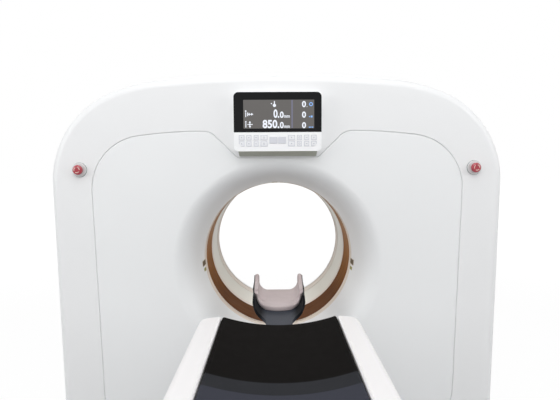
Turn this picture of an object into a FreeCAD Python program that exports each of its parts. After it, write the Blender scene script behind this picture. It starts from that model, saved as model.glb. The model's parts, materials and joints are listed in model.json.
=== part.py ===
"""CT scanner: a ring gantry with its patient table.

Millimetres, +Z up. The origin is on the floor straight under the isocentre, the point where the
bore's axis meets the scan plane. +Y runs into the gantry, away from the table, and +X is to the
right of someone who stands at the table and looks at the gantry.
"""
import FreeCAD
import Part

import math
import os

Vector = FreeCAD.Vector

# ---------------------------------------------------------------- gantry covers
BORE_AXIS_Z = 1000.0            # height of the isocentre
BORE_RADIUS = 350.0
CROWN_HEIGHT = 818.0            # from the isocentre to the top
GANTRY_TOP_Z = BORE_AXIS_Z + CROWN_HEIGHT
GANTRY_HALF_WIDTH = 975.0       # at its widest, beside the bore
CROWN_TURN = 5.2                # degrees turned by the long arc over the top
SHOULDER_RADIUS = 800.0
SHOULDER_TURN = 14.3
CORNER_RADIUS = 423.0
SIDE_TAPER = 0.63               # degrees by which each side leans in towards the floor
FRONT_Y = -370.0
REAR_Y = 530.0
COVER_BOTTOM_Z = 15.0
COVER_WALL = 5.0
COVER_EDGE_RADIUS = 38.0
COVER_INNER_BEVEL = 24.0        # flat that follows the rounded edge on the inside
COVER_EDGE_BANDS = 3            # bands that make up the rounded edge
FRONT_SPLIT_Y = -120.0          # joint between the front cover and the side covers
REAR_SPLIT_Y = 280.0            # joint between the side covers and the rear cover
COVER_JOINT = 2.0
TOP_COVER_HALF_WIDTH = GANTRY_HALF_WIDTH - 335.0
TOP_COVER_JOINT = 0.6

# ---------------------------------------------------------------- front panel
PANEL_HALF_WIDTH = GANTRY_HALF_WIDTH - 178.0    # at the widest point of the seam
PANEL_TOP_Z = GANTRY_TOP_Z - 240.0              # highest point of the seam
PANEL_TOP_TURN = 7.5            # degrees turned by the seam's long top arcs
PANEL_CORNER_RADIUS = 235.0
PANEL_SIDE_TAPER = 1.2
PANEL_FOOT_RADIUS = 230.0
PANEL_BOTTOM_Z = 200.0
NOTCH_BOTTOM_Z = GANTRY_TOP_Z - 352.0           # the seam dips under the display
NOTCH_HALF_WIDTH = 160.0
NOTCH_SLOPE = 44.0
NOTCH_FOOT_RADIUS = 27.0
NOTCH_SHOULDER_RADIUS = 75.0
SEAM_WIDTH = 3.0
SEAM_EDGE = 2.0                 # bevel along the panel's edge
FLANGE_WIDTH = 18.0             # return flange that the panel is screwed to
FLANGE_THICKNESS = 4.0

# ---------------------------------------------------------------- bore
FLARE_TOP_GAP = 8.0             # from the front funnel's mouth to the seam's dip
FLARE_WIDTH = NOTCH_BOTTOM_Z - BORE_AXIS_Z - BORE_RADIUS - FLARE_TOP_GAP
FLARE_DEPTH = 190.0             # how deep it rolls in from the face
FLARE_BANDS = 5                 # bands that make up the roll of the front funnel
FLARE_BACK_BANDS = 2
BORE_FRONT_Y = -145.0           # front edge of the straight bore
BORE_REAR_Y = 325.0             # rear edge of the straight bore
REAR_FLARE_WIDTH = 170.0
WINDOW_REAR_Y = 55.0            # joint between scan window and liner
WINDOW_WALL = 3.0
LINER_WALL = 4.0
FLARE_END_STEP = 2.0            # the funnels end this far outside the bore's wall
LASER_SLOT_WIDTH = 11.0
LASER_SLOT_LENGTH = 34.0
LASER_SLOT_Y = -186.0
LASER_SIDE_ANGLE = -6.0         # side windows lie this far below the axis
LASER_RECESS = 2.5

# ---------------------------------------------------------------- display and keys
DISPLAY_HALF_WIDTH = 181.5
DISPLAY_TOP_Z = GANTRY_TOP_Z - 86.0
DISPLAY_LIP_Z = DISPLAY_TOP_Z - 242.0           # lower edge of its front
DISPLAY_FOOT_Z = DISPLAY_TOP_Z - 262.0          # lower edge where it meets the cover
DISPLAY_DEPTH = 50.0
DISPLAY_CORNER_RADIUS = 20.0
DISPLAY_FOOT_RADIUS = 26.0
DISPLAY_WALL = 4.0
GLASS_BOTTOM_Z = DISPLAY_TOP_Z - 164.0
GLASS_THICKNESS = 6.0
KEY_COLUMNS = ((149.5, 23.0), (119.5, 21.0), (89.5, 20.0), (57.0, 29.0))   # centre, width
KEY_ROW_Z = (DISPLAY_TOP_Z - 186.0, DISPLAY_TOP_Z - 211.5)
KEY_HEIGHT = 21.5
MIDDLE_KEY_X = 18.0
MIDDLE_KEY_WIDTH = 33.0
MIDDLE_KEY_HEIGHT = 27.0
MIDDLE_KEY_Z = DISPLAY_TOP_Z - 197.0
KEY_CORNER_CUT = 11.0
KEY_PROUD = 1.5
KEY_TRAVEL = 1.2
KEY_CLEARANCE = 0.3
KEY_POCKET_DEPTH = 6.0
KEY_EDGE = 0.6

# ---------------------------------------------------------------- emergency stops
ESTOP_X = GANTRY_HALF_WIDTH - 131.0
ESTOP_Z = GANTRY_TOP_Z - 401.0
ESTOP_RING_RADIUS = 30.0
ESTOP_RING_THICKNESS = 6.0
ESTOP_STEM_RADIUS = 11.0
ESTOP_STEM_TAIL = 24.0          # length of stem behind the cover's face
ESTOP_CAP_RADIUS = 21.0
ESTOP_CAP_THICKNESS = 17.0
ESTOP_CAP_FLATS = 24
ESTOP_CAP_PROFILE = ((0.76, 0.0), (1.0, 0.3), (1.0, 0.6), (0.88, 0.88), (0.66, 1.0))
ESTOP_BORE_SHARE = 0.7          # of the cap's thickness
ESTOP_TRAVEL = 4.0
ESTOP_REST_GAP = 1.0            # left between cap and ring when pushed
ESTOP_CLEARANCE = 0.3
ESTOP_TURN_FIT = 0.05

# ---------------------------------------------------------------- gantry frame
BASE_HALF_WIDTH = 780.0
BASE_FRONT_Y = -310.0
BASE_REAR_Y = 310.0
BASE_PLATE = 25.0
BASE_TOP_Z = BORE_AXIS_Z - 860.0                # seat of the stator frame
POST_SIZE = 50.0
POST_X = GANTRY_HALF_WIDTH - 95.0               # inner face of the cover posts
POST_TOP_Z = BORE_AXIS_Z + 330.0
POST_BEAM_HEIGHT = 60.0
BRACKET_HEIGHTS = (240.0, POST_TOP_Z - 90.0)
BRACKET_SIZE = 40.0
STATOR_FRONT_Y = 150.0
STATOR_THICKNESS = 60.0
STATOR_RADIUS = 640.0
STATOR_BORE = 470.0
STATOR_FOOT_HALF_WIDTH = 700.0
STATOR_KNEE_HALF_WIDTH = 600.0
STATOR_WINDOW_HALF_WIDTH = 260.0
STATOR_WINDOW_TOP = BORE_AXIS_Z - 670.0
STATOR_WINDOW_SILL = 60.0
STATOR_SHAFT_HOLE = 28.5
BEARING_RADIUS = 500.0          # running radius of the main bearing
BEARING_OUTER = 570.0
BEARING_GAP = 0.4

# ---------------------------------------------------------------- rotor
ROTOR_FRONT_Y = 60.0            # face that carries tube and detectors
ROTOR_PLATE = 42.0
ROTOR_RADIUS = 700.0            # the belt runs round this rim
ROTOR_BORE = 440.0
NECK_OUTER = 462.0
NECK_END_Y = 260.0
NECK_GAP = 4.0                  # running gap to the stator's face
SLIP_RING_OUTER = 560.0
SLIP_RING_Y = 226.0
SLIP_RING_THICKNESS = 24.0
SLIP_TRACKS = 4
FOCUS_RADIUS = 590.0            # tube axis to isocentre
TUBE_RADIUS = 92.0
TUBE_LENGTH = 290.0
TUBE_CAP_RADIUS = 62.0
TUBE_CAP_LENGTH = 34.0
COLLIMATOR_HALF_WIDTH = 110.0
COLLIMATOR_HEIGHT = 96.0
COLLIMATOR_DEPTH = 130.0
COLLIMATOR_SLOT_HALF_WIDTH = 88.0
COLLIMATOR_SLOT_WIDTH = 18.0    # along the bore, centred on the scan plane
DETECTOR_RADIUS = 1050.0        # from the tube's axis
DETECTOR_THICKNESS = 70.0
DETECTOR_HALF_ANGLE = 27.0
DETECTOR_WIDTH = 120.0
DETECTOR_RIBS = 8
DETECTOR_RIB = 8.0
DETECTOR_RIB_HEIGHT = 7.0
GENERATOR_INNER_X = 480.0
GENERATOR_WIDTH = 205.0
GENERATOR_HALF_HEIGHT = 150.0
GENERATOR_DEPTH = 240.0
GENERATOR_LID = 8.0
COOLER_FAN_RADIUS = 80.0
COOLER_FAN_DEPTH = 30.0
COOLER_SLOTS = 6
COOLER_SLOT_PITCH = 40.0
COOLER_SLOT_HEIGHT = 14.0
COOLER_SLOT_DEPTH = 40.0

# ---------------------------------------------------------------- rotor drive
MOTOR_X = -430.0
MOTOR_Z = BORE_AXIS_Z - 700.0
MOTOR_RADIUS = 78.0
MOTOR_FLANGE = 14.0
MOTOR_LENGTH = 190.0
PULLEY_RADIUS = 60.0
SHAFT_RADIUS = 19.0
SHAFT_FIT = 0.05
BELT_THICKNESS = 6.0
BELT_WIDTH = 38.0
BELT_CLEARANCE = 0.4
BRUSH_GAP = 0.3
BRUSH_BLOCK_WIDTH = 110.0
BRUSH_BLOCK_THICKNESS = 45.0
BRUSH_WIDTH = 9.0

# ---------------------------------------------------------------- patient table, top
CUSHION_HALF_WIDTH = 206.0
CUSHION_EDGE_Z = 883.0
CUSHION_DIP = 33.0
CUSHION_THICKNESS = 22.0
CUSHION_EDGE_RADIUS = 7.0
CRADLE_HALF_WIDTH = 208.0
CRADLE_THICKNESS = 28.0
CRADLE_END_Y = -680.0           # end nearest the gantry
CRADLE_LENGTH = 2240.0
CUSHION_FOOT_MARGIN = 90.0
RUNNER_LENGTH = 700.0
RUNNER_MARGIN = 60.0
RUNNER_WEB = 10.0
RUNNER_LEG = 4.0
RAIL_X = 155.0                  # centre line of the cradle's rails
RAIL_WIDTH = 30.0
RAIL_HEIGHT = 16.0
RAIL_GAP = 0.4
PAD_WIDTH = 40.0
CRADLE_TRAVEL = 1250.0

# ---------------------------------------------------------------- patient table, body
BODY_END_Y = -690.0             # end nearest the gantry
BODY_LENGTH = 2290.0
BODY_HALF_WIDTH = 292.0
BODY_RAIL_Z = 884.0             # inner edge of the side rails
BODY_RAIL_SLOPE = 5.0
BODY_RAIL_EDGE_RADIUS = 24.0
BODY_INNER_EDGE_RADIUS = 8.0
TROUGH_HALF_WIDTH = 212.0
TROUGH_FLOOR_Z = 770.0
TROUGH_CORNER_RADIUS = 12.0
BODY_SIDE_LEAN = 8.0
BODY_BOTTOM_Z = 590.0
BODY_WALL = 4.0
BODY_END_RADIUS = 40.0
BODY_FOOT_RADIUS = 70.0
CARRIAGE_X = 170.0              # inner face of its long beams
CARRIAGE_BEAM_WIDTH = 45.0
CARRIAGE_BEAM_HEIGHT = 76.0
CARRIAGE_END_GAP = 110.0
CROSS_BEAM_WIDTH = 60.0
CROSS_BEAM_HEIGHT = 60.0

# ---------------------------------------------------------------- patient table, lift
ARM_LENGTH = 600.0
ARM_REST_ANGLE = 58.0
ARM_BASE_Z = 140.0
ARM_FRONT_Y = -1150.0           # base pivot of the arm nearest the gantry
ARM_SPACING = 800.0
ARM_HALF_WIDTH = 100.0
ARM_HALF_HEIGHT = 34.0
ARM_BOSS_RADIUS = 44.0
PIVOT_RADIUS = 20.0
PIVOT_FIT = 0.05
BRACKET_X = 104.0               # inner face of the cheeks beside the arms
BRACKET_PLATE = 24.0
BRACKET_HALF_WIDTH = 56.0
TABLE_PLATE = 20.0
TABLE_PLATE_HALF_WIDTH = 220.0
TABLE_BASE_MARGIN = 150.0       # plate beyond the first pivot
TABLE_BASE_TAIL = 300.0         # plate beyond the last pivot
DUCT_HALF_WIDTH = 110.0
DUCT_HEIGHT = 12.0
PLINTH_HALF_WIDTH = 232.0
PLINTH_TOP_Z = 226.0
PLINTH_WALL = 4.0
PLINTH_CORNER_RADIUS = 40.0
PLINTH_MARGIN = 40.0
PLINTH_SLOT_HALF_WIDTH = 140.0
PLINTH_SLOT_END = 50.0
PLINTH_NOTCH_Z = 165.0          # the rear arm passes over the foot end when the table is low
PLINTH_FOOT = 20.0
PLINTH_FOOT_INSET = 250.0
GEARBOX_SIZE = 130.0
GEARBOX_WIDTH = 44.0
GEARMOTOR_RADIUS = 20.0
GEARMOTOR_LENGTH = 220.0

# ---------------------------------------------------------------- head holder
HOLDER_FAR_Y = -200.0
HOLDER_BOTTOM_Z = 804.0
HOLDER_HALF_WIDTH = 116.0
HOLDER_RIM_HEIGHT = 74.0
HOLDER_WALL = 8.0
HOLDER_CORNER_RADIUS = 72.0
HOLDER_NECK_HALF_WIDTH = 50.0
HOLDER_NECK_THICKNESS = 15.0
HOLDER_NECK_LENGTH = 100.0      # bare neck between cradle and cup
HOLDER_TRAVEL = 120.0
TONGUE_HALF_WIDTH = 44.0
TONGUE_THICKNESS = 12.0
TONGUE_LENGTH = 260.0
TONGUE_CLEARANCE = 0.3
EAR_TOP_Z = 919.0
EAR_LENGTH = 62.0
EAR_PROFILE = ((2.0, 0.0), (1.1, 0.35), (0.6, 0.95), (0.3, 1.0))    # shares of length and rise
EAR_TIP_SHARE = 0.7
HEAD_PAD_THICKNESS = 20.0
HEAD_PAD_RIM = 15.0
HEAD_PAD_GAP = 0.4
HEAD_PAD_PROUD = 2.0
HEAD_PAD_NEAR_Y = -446.0
RIM_CLIMB_END = 20.0            # the rim is level from here on, behind the pad's near edge

# ---------------------------------------------------------------- worked out from the above
ARM_RISE = ARM_LENGTH * math.sin(math.radians(ARM_REST_ANGLE))
ARM_REACH = ARM_LENGTH * math.cos(math.radians(ARM_REST_ANGLE))
PIVOT_BASE_Y = (ARM_FRONT_Y, ARM_FRONT_Y - ARM_SPACING)
BODY_FOOT_Y = BODY_END_Y - BODY_LENGTH
CRADLE_FOOT_Y = CRADLE_END_Y - CRADLE_LENGTH
CUSHION_CENTRE_Z = CUSHION_EDGE_Z - CUSHION_DIP
CUSHION_RADIUS = (CUSHION_HALF_WIDTH ** 2 + CUSHION_DIP ** 2) / (2 * CUSHION_DIP)
CUSHION_ARC_Z = CUSHION_CENTRE_Z + CUSHION_RADIUS      # height of the arcs' shared centre
CRADLE_TOP_RADIUS = CUSHION_RADIUS + CUSHION_THICKNESS
CRADLE_BOTTOM_RADIUS = CRADLE_TOP_RADIUS + CRADLE_THICKNESS
CARRIAGE_TOP_Z = TROUGH_FLOOR_Z - BODY_WALL
STATOR_REAR_Y = STATOR_FRONT_Y + STATOR_THICKNESS
DISPLAY_FRONT_Y = FRONT_Y - DISPLAY_DEPTH
ROTOR_REAR_Y = ROTOR_FRONT_Y + ROTOR_PLATE
TABLE_PLATE_FRONT_Y = ARM_FRONT_Y + TABLE_BASE_MARGIN
TABLE_PLATE_FOOT_Y = PIVOT_BASE_Y[1] - TABLE_BASE_TAIL
NECK_END_NEAR_Y = CRADLE_END_Y + HOLDER_NECK_LENGTH
FAR = 4000.0                    # longer than anything here


# ---------------------------------------------------------------- building blocks
def box(x0, x1, y0, y1, z0, z1):
    low = Vector(min(x0, x1), min(y0, y1), min(z0, z1))
    return Part.makeBox(abs(x1 - x0), abs(y1 - y0), abs(z1 - z0), low)


def rod_y(radius, y0, y1, x=0.0, z=BORE_AXIS_Z):
    return Part.makeCylinder(radius, y1 - y0, Vector(x, y0, z), Vector(0, 1, 0))


def rod_x(radius, x0, x1, y, z):
    return Part.makeCylinder(radius, x1 - x0, Vector(x0, y, z), Vector(1, 0, 0))


def tube_y(inner, outer, y0, y1):
    return rod_y(outer, y0, y1).cut(rod_y(inner, y0 - 1, y1 + 1))


def prism(wire, along):
    return Part.Face(wire).extrude(along)


def mirrored(shape):
    return shape.mirror(Vector(0, 0, 0), Vector(1, 0, 0))


def fuse(first, *others):
    return first.multiFuse(list(others)).removeSplitter()


def polygon(points):
    return Part.makePolygon([Vector(*p) for p in points] + [Vector(*points[0])])


def flat_sided(rings):
    """A solid with flat sides through rings of as many corners each."""
    faces = [Part.Face(polygon(rings[0])), Part.Face(polygon(rings[-1]))]
    for near, far in zip(rings, rings[1:]):
        for corner in range(len(near)):
            before = corner - 1
            faces.append(Part.Face(polygon([near[before], near[corner],
                                            far[corner], far[before]])))
    solid = Part.makeSolid(Part.makeShell(faces))
    if solid.Volume < 0:
        solid.reverse()
    return solid


def revolved(points):
    """A closed run of (radius, y) points turned about the bore's axis."""
    wire = polygon([(r, y, BORE_AXIS_Z) for r, y in points])
    return Part.Face(wire).revolve(Vector(0, 0, BORE_AXIS_Z), Vector(0, 1, 0), 360)


class Trail:
    """A tangent run of lines and arcs in the XZ plane. Headings are in degrees from +X."""

    def __init__(self, x, z, heading):
        self.x = x
        self.z = z
        self.heading = heading
        self.edges = []

    def _step(self, x, z):
        self.edges.append(Part.makeLine(Vector(self.x, 0, self.z), Vector(x, 0, z)))
        self.x = x
        self.z = z

    def to_x(self, x):
        slope = math.tan(math.radians(self.heading))
        self._step(x, self.z + (x - self.x) * slope)

    def to_z(self, z):
        slope = math.tan(math.radians(self.heading))
        self._step(self.x + (z - self.z) / slope, z)

    def arc(self, radius, turn):
        """Turn by an angle, to the left where it is positive."""
        side = math.copysign(1.0, turn)
        start = math.radians(self.heading)
        centre_x = self.x - side * radius * math.sin(start)
        centre_z = self.z + side * radius * math.cos(start)

        def at(angle):
            return Vector(centre_x + side * radius * math.sin(angle), 0,
                          centre_z - side * radius * math.cos(angle))

        end = start + math.radians(turn)
        here = Vector(self.x, 0, self.z)
        last = at(end)
        self.edges.append(Part.Arc(here, at((start + end) / 2), last).toShape())
        self.x = last.x
        self.z = last.z
        self.heading += turn

    def closed_by_mirror(self):
        halves = self.edges + [mirrored(edge) for edge in self.edges]
        return Part.Wire(Part.__sortEdges__(halves))


# ---------------------------------------------------------------- outlines
def gantry_outline(inset=0.0, bottom=COVER_BOTTOM_Z):
    """The gantry seen from the front: a long crown, shoulders, corners and leaning sides."""
    crown_end = math.sin(math.radians(CROWN_TURN))
    shoulder_end = math.sin(math.radians(CROWN_TURN + SHOULDER_TURN))
    crown_radius = (GANTRY_HALF_WIDTH - CORNER_RADIUS * (1 - shoulder_end)
                    - SHOULDER_RADIUS * (shoulder_end - crown_end)) / crown_end
    trail = Trail(0, GANTRY_TOP_Z - inset, 0)
    trail.arc(crown_radius - inset, -CROWN_TURN)
    trail.arc(SHOULDER_RADIUS - inset, -SHOULDER_TURN)
    trail.arc(CORNER_RADIUS - inset, -(90 + SIDE_TAPER - CROWN_TURN - SHOULDER_TURN))
    trail.to_z(bottom)
    trail.heading = 180
    trail.to_x(0)
    return trail.closed_by_mirror()


def panel_outline(inset=0.0):
    """The seam of the front panel, with the dip that runs round the display."""
    trail = Trail(0, NOTCH_BOTTOM_Z - inset, 0)
    trail.to_x(NOTCH_HALF_WIDTH)
    trail.arc(NOTCH_FOOT_RADIUS + inset, NOTCH_SLOPE)
    shoulder = NOTCH_SHOULDER_RADIUS - inset
    crest = 1 - math.cos(math.radians(NOTCH_SLOPE))
    trail.to_z(PANEL_TOP_Z - inset - shoulder * crest)
    trail.arc(shoulder, -NOTCH_SLOPE)
    corner = math.sin(math.radians(PANEL_TOP_TURN))
    corner_start = PANEL_HALF_WIDTH - PANEL_CORNER_RADIUS * (1 - corner)
    top_radius = (corner_start - trail.x) / corner
    trail.arc(top_radius - inset, -PANEL_TOP_TURN)
    trail.arc(PANEL_CORNER_RADIUS - inset, -(90 + PANEL_SIDE_TAPER - PANEL_TOP_TURN))
    foot = PANEL_FOOT_RADIUS - inset
    trail.to_z(PANEL_BOTTOM_Z + inset + foot * (1 - math.sin(math.radians(PANEL_SIDE_TAPER))))
    trail.arc(foot, -(90 - PANEL_SIDE_TAPER))
    trail.to_x(0)
    return trail.closed_by_mirror()


def body_outline(inset=0.0, bottom=BODY_BOTTOM_Z):
    """The table's body across its length: two side rails with the cradle's trough between."""
    trail = Trail(0, TROUGH_FLOOR_Z - inset, 0)
    trail.to_x(TROUGH_HALF_WIDTH - TROUGH_CORNER_RADIUS)
    trail.arc(TROUGH_CORNER_RADIUS + inset, 90)
    trail.to_z(BODY_RAIL_Z - BODY_INNER_EDGE_RADIUS)
    trail.arc(BODY_INNER_EDGE_RADIUS - inset, -(90 + BODY_RAIL_SLOPE))
    lean = math.radians(BODY_RAIL_SLOPE)
    trail.to_x(BODY_HALF_WIDTH - BODY_RAIL_EDGE_RADIUS * (1 - math.sin(lean)))
    trail.arc(BODY_RAIL_EDGE_RADIUS - inset, -(90 + BODY_SIDE_LEAN - BODY_RAIL_SLOPE))
    trail.to_z(bottom)
    trail.heading = 180
    trail.to_x(0)
    return trail.closed_by_mirror()


def cover_block(inset, y0, y1, bottom=COVER_BOTTOM_Z):
    wire = gantry_outline(inset, bottom)
    wire.translate(Vector(0, y0, 0))
    return prism(wire, Vector(0, y1 - y0, 0))


def face_edges(block, y_face, bottom):
    """The edges round a face, apart from the straight one along the floor."""
    edges = []
    for edge in block.Edges:
        flat = all(abs(v.Point.y - y_face) < 1e-4 for v in edge.Vertexes)
        middle = edge.valueAt((edge.FirstParameter + edge.LastParameter) / 2)
        if flat and middle.z > bottom + 1:
            edges.append(edge)
    return edges


def outline_at(inset, y, bottom=COVER_BOTTOM_Z):
    wire = gantry_outline(inset, bottom)
    wire.translate(Vector(0, y, 0))
    return wire


def hollow_cover(y_face, y_open):
    """A pan with the gantry's outline: its face at one end, rounded over, and open at the other."""
    outward = math.copysign(1.0, y_face - y_open)
    radius = COVER_EDGE_RADIUS
    stations = [(0.0, y_open)]
    for band in range(COVER_EDGE_BANDS + 1):
        angle = math.radians(90.0 * band / COVER_EDGE_BANDS)
        stations.append((radius * (1 - math.cos(angle)),
                         y_face - outward * radius * (1 - math.sin(angle))))
    bands = [Part.makeLoft([outline_at(*near), outline_at(*far)], True, True)
             for near, far in zip(stations, stations[1:])]
    outer = fuse(*bands)
    inner_face = y_face - outward * COVER_WALL
    inner_open = y_open - outward
    low = COVER_BOTTOM_Z - 1
    inner = cover_block(COVER_WALL, min(inner_face, inner_open), max(inner_face, inner_open), low)
    inner = inner.makeChamfer(COVER_INNER_BEVEL, face_edges(inner, inner_face, low))
    return outer.cut(inner)


# ---------------------------------------------------------------- gantry covers
def flare_start():
    return BORE_RADIUS + FLARE_END_STEP


def front_flare(depth_out, depth_in):
    """The front funnel's wall between two depths: a straight throat that rolls out to the face."""
    centre_y = FRONT_Y + FLARE_DEPTH
    centre_r = flare_start() + FLARE_WIDTH

    def roll(depth, bands):
        angles = [math.radians(90.0 * band / bands) for band in range(bands + 1)]
        return [(centre_r - (FLARE_WIDTH - depth) * math.cos(angle),
                 centre_y - (FLARE_DEPTH - depth) * math.sin(angle)) for angle in angles]

    front = roll(depth_out, FLARE_BANDS)
    back = roll(depth_in, FLARE_BACK_BANDS)
    return revolved([(front[0][0], BORE_FRONT_Y)] + front + back[::-1]
                    + [(back[0][0], BORE_FRONT_Y)])


def front_surround():
    """The outer part of the front: a rounded rim, and a flange that the panel sits on."""
    hole = panel_outline()
    hole.translate(Vector(0, FRONT_Y - 1, 0))
    shell = hollow_cover(FRONT_Y, FRONT_SPLIT_Y).cut(prism(hole, Vector(0, COVER_WALL + 2, 0)))
    flange_outer = panel_outline(-FLANGE_WIDTH)
    flange_inner = panel_outline(FLANGE_WIDTH)
    for wire in (flange_outer, flange_inner):
        wire.translate(Vector(0, FRONT_Y + COVER_WALL, 0))
    thickness = Vector(0, FLANGE_THICKNESS, 0)
    flange = prism(flange_outer, thickness).cut(prism(flange_inner, thickness))
    flange = flange.cut(rod_y(flare_start() + FLARE_WIDTH, FRONT_Y, 0))
    cover = fuse(shell, flange)
    for side in (-1, 1):
        cover = cover.cut(rod_y(ESTOP_STEM_RADIUS + ESTOP_CLEARANCE, FRONT_Y - 1,
                                FRONT_Y + COVER_WALL + 1, side * ESTOP_X, ESTOP_Z))
    return cover


def laser_slot(depth):
    """A slot along the axis, through the side wall of the funnel, on the +X side."""
    reach = FLARE_WIDTH
    half = LASER_SLOT_WIDTH / 2 - depth
    slot = box(BORE_RADIUS - reach / 2, BORE_RADIUS + reach,
               LASER_SLOT_Y - LASER_SLOT_LENGTH / 2 + depth,
               LASER_SLOT_Y + LASER_SLOT_LENGTH / 2 - depth,
               BORE_AXIS_Z - half, BORE_AXIS_Z + half)
    return slot


def laser_slots(depth=0.0):
    slots = []
    for angle in (LASER_SIDE_ANGLE, 90.0, 180.0 - LASER_SIDE_ANGLE):
        slot = laser_slot(depth)
        slot.rotate(Vector(0, 0, BORE_AXIS_Z), Vector(0, -1, 0), angle)
        slots.append(slot)
    return slots


def front_panel():
    """The inner front panel, with the funnel of the bore moulded into it."""
    wire = panel_outline(SEAM_WIDTH)
    wire.translate(Vector(0, FRONT_Y, 0))
    plate = prism(wire, Vector(0, COVER_WALL, 0))
    edges = [edge for edge in plate.Edges
             if all(abs(v.Point.y - FRONT_Y) < 1e-4 for v in edge.Vertexes)]
    plate = plate.makeChamfer(SEAM_EDGE, edges)
    mouth = flare_start() + FLARE_WIDTH
    plate = plate.cut(rod_y(mouth, FRONT_Y - 1, FRONT_Y + COVER_WALL + 1))
    panel = fuse(plate, front_flare(0, COVER_WALL))
    return panel.cut(laser_slots())


def laser_windows():
    glass = front_flare(LASER_RECESS, COVER_WALL)
    return Part.makeCompound([glass.common(slot) for slot in laser_slots()])


def middle_shell():
    y0 = FRONT_SPLIT_Y + COVER_JOINT
    y1 = REAR_SPLIT_Y - COVER_JOINT
    outer = cover_block(0, y0, y1)
    inner = cover_block(COVER_WALL, y0 - 1, y1 + 1, COVER_BOTTOM_Z - 1)
    return outer.cut(inner)


def top_cover():
    reach = TOP_COVER_HALF_WIDTH - TOP_COVER_JOINT
    return middle_shell().common(box(-reach, reach, -FAR, FAR, BORE_AXIS_Z, FAR))


def side_cover_right():
    return middle_shell().common(box(TOP_COVER_HALF_WIDTH, FAR, -FAR, FAR, 0, FAR))


def side_cover_left():
    return mirrored(side_cover_right())


def rear_cover():
    """The rear cover, with a shorter, conical funnel."""
    start = flare_start()
    mouth = start + REAR_FLARE_WIDTH
    throat_y = REAR_Y - REAR_FLARE_WIDTH
    wall = COVER_WALL
    funnel = revolved([(start, BORE_REAR_Y), (start, throat_y), (mouth, REAR_Y),
                       (mouth + 2 * wall, REAR_Y), (mouth + 2 * wall, REAR_Y - wall),
                       (mouth + wall, REAR_Y - wall), (start + wall, throat_y),
                       (start + wall, BORE_REAR_Y)])
    shell = hollow_cover(REAR_Y, REAR_SPLIT_Y)
    shell = shell.cut(rod_y(mouth + wall, REAR_Y - 2 * wall, REAR_Y + 1))
    return fuse(shell, funnel)


# ---------------------------------------------------------------- bore
def scan_window():
    """The thin ring that the beam passes through."""
    return tube_y(BORE_RADIUS, BORE_RADIUS + WINDOW_WALL, BORE_FRONT_Y, WINDOW_REAR_Y)


def rear_bore_liner():
    return tube_y(BORE_RADIUS, BORE_RADIUS + LINER_WALL, WINDOW_REAR_Y, BORE_REAR_Y)


# ---------------------------------------------------------------- display and keys
def display_outline(bottom, foot_radius, top_radius=DISPLAY_CORNER_RADIUS):
    trail = Trail(0, DISPLAY_TOP_Z, 0)
    trail.to_x(DISPLAY_HALF_WIDTH - top_radius)
    trail.arc(top_radius, -90)
    trail.to_z(bottom + foot_radius)
    if foot_radius:
        trail.arc(foot_radius, -90)
    trail.heading = 180
    trail.to_x(0)
    return trail.closed_by_mirror()


def display_block():
    wire = display_outline(DISPLAY_FOOT_Z, DISPLAY_FOOT_RADIUS)
    wire.translate(Vector(0, DISPLAY_FRONT_Y, 0))
    block = prism(wire, Vector(0, DISPLAY_DEPTH, 0))
    side = polygon([(-FAR, DISPLAY_FRONT_Y, DISPLAY_LIP_Z), (-FAR, DISPLAY_FRONT_Y, DISPLAY_TOP_Z),
                    (-FAR, FRONT_Y, DISPLAY_TOP_Z), (-FAR, FRONT_Y, DISPLAY_FOOT_Z)])
    return block.common(prism(side, Vector(2 * FAR, 0, 0)))


def display_glass():
    wire = display_outline(GLASS_BOTTOM_Z, 0)
    wire.translate(Vector(0, DISPLAY_FRONT_Y, 0))
    return prism(wire, Vector(0, GLASS_THICKNESS, 0))


def key_places():
    """Name, middle, width, height and the side whose lower corner is cut, of each key."""
    places = []
    for side, name in ((-1, "left"), (1, "right")):
        for row, z in enumerate(KEY_ROW_Z, start=1):
            for column, (x, width) in enumerate(KEY_COLUMNS, start=1):
                cut = side if (row, column) == (2, 1) else 0
                places.append((f"key_{name}_{row}_{column}", side * x, z, width, KEY_HEIGHT, cut))
        places.append((f"key_{name}_middle", side * MIDDLE_KEY_X, MIDDLE_KEY_Z,
                       MIDDLE_KEY_WIDTH, MIDDLE_KEY_HEIGHT, 0))
    return places


def key_shape(x, z, width, height, cut, grow, y0, y1):
    half_w = width / 2 + grow
    half_h = height / 2 + grow
    block = box(x - half_w, x + half_w, y0, y1, z - half_h, z + half_h)
    if cut:
        corner = x + cut * half_w
        size = KEY_CORNER_CUT
        wedge = polygon([(corner, y0 - 1, z - half_h - 1), (corner + cut, y0 - 1, z - half_h - 1),
                         (corner + cut, y0 - 1, z - half_h + size + 1),
                         (corner, y0 - 1, z - half_h + size),
                         (corner - cut * size, y0 - 1, z - half_h),
                         (corner - cut * size, y0 - 1, z - half_h - 1)])
        block = block.cut(prism(wedge, Vector(0, y1 - y0 + 2, 0)))
    return block


def key(place):
    _, x, z, width, height, cut = place
    front = DISPLAY_FRONT_Y - KEY_PROUD
    back = DISPLAY_FRONT_Y + KEY_POCKET_DEPTH - KEY_TRAVEL - KEY_CLEARANCE
    block = key_shape(x, z, width, height, cut, 0, front, back)
    rim = [edge for edge in block.Edges
           if all(abs(v.Point.y - front) < 1e-4 for v in edge.Vertexes)]
    return block.makeChamfer(KEY_EDGE, rim)


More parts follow.
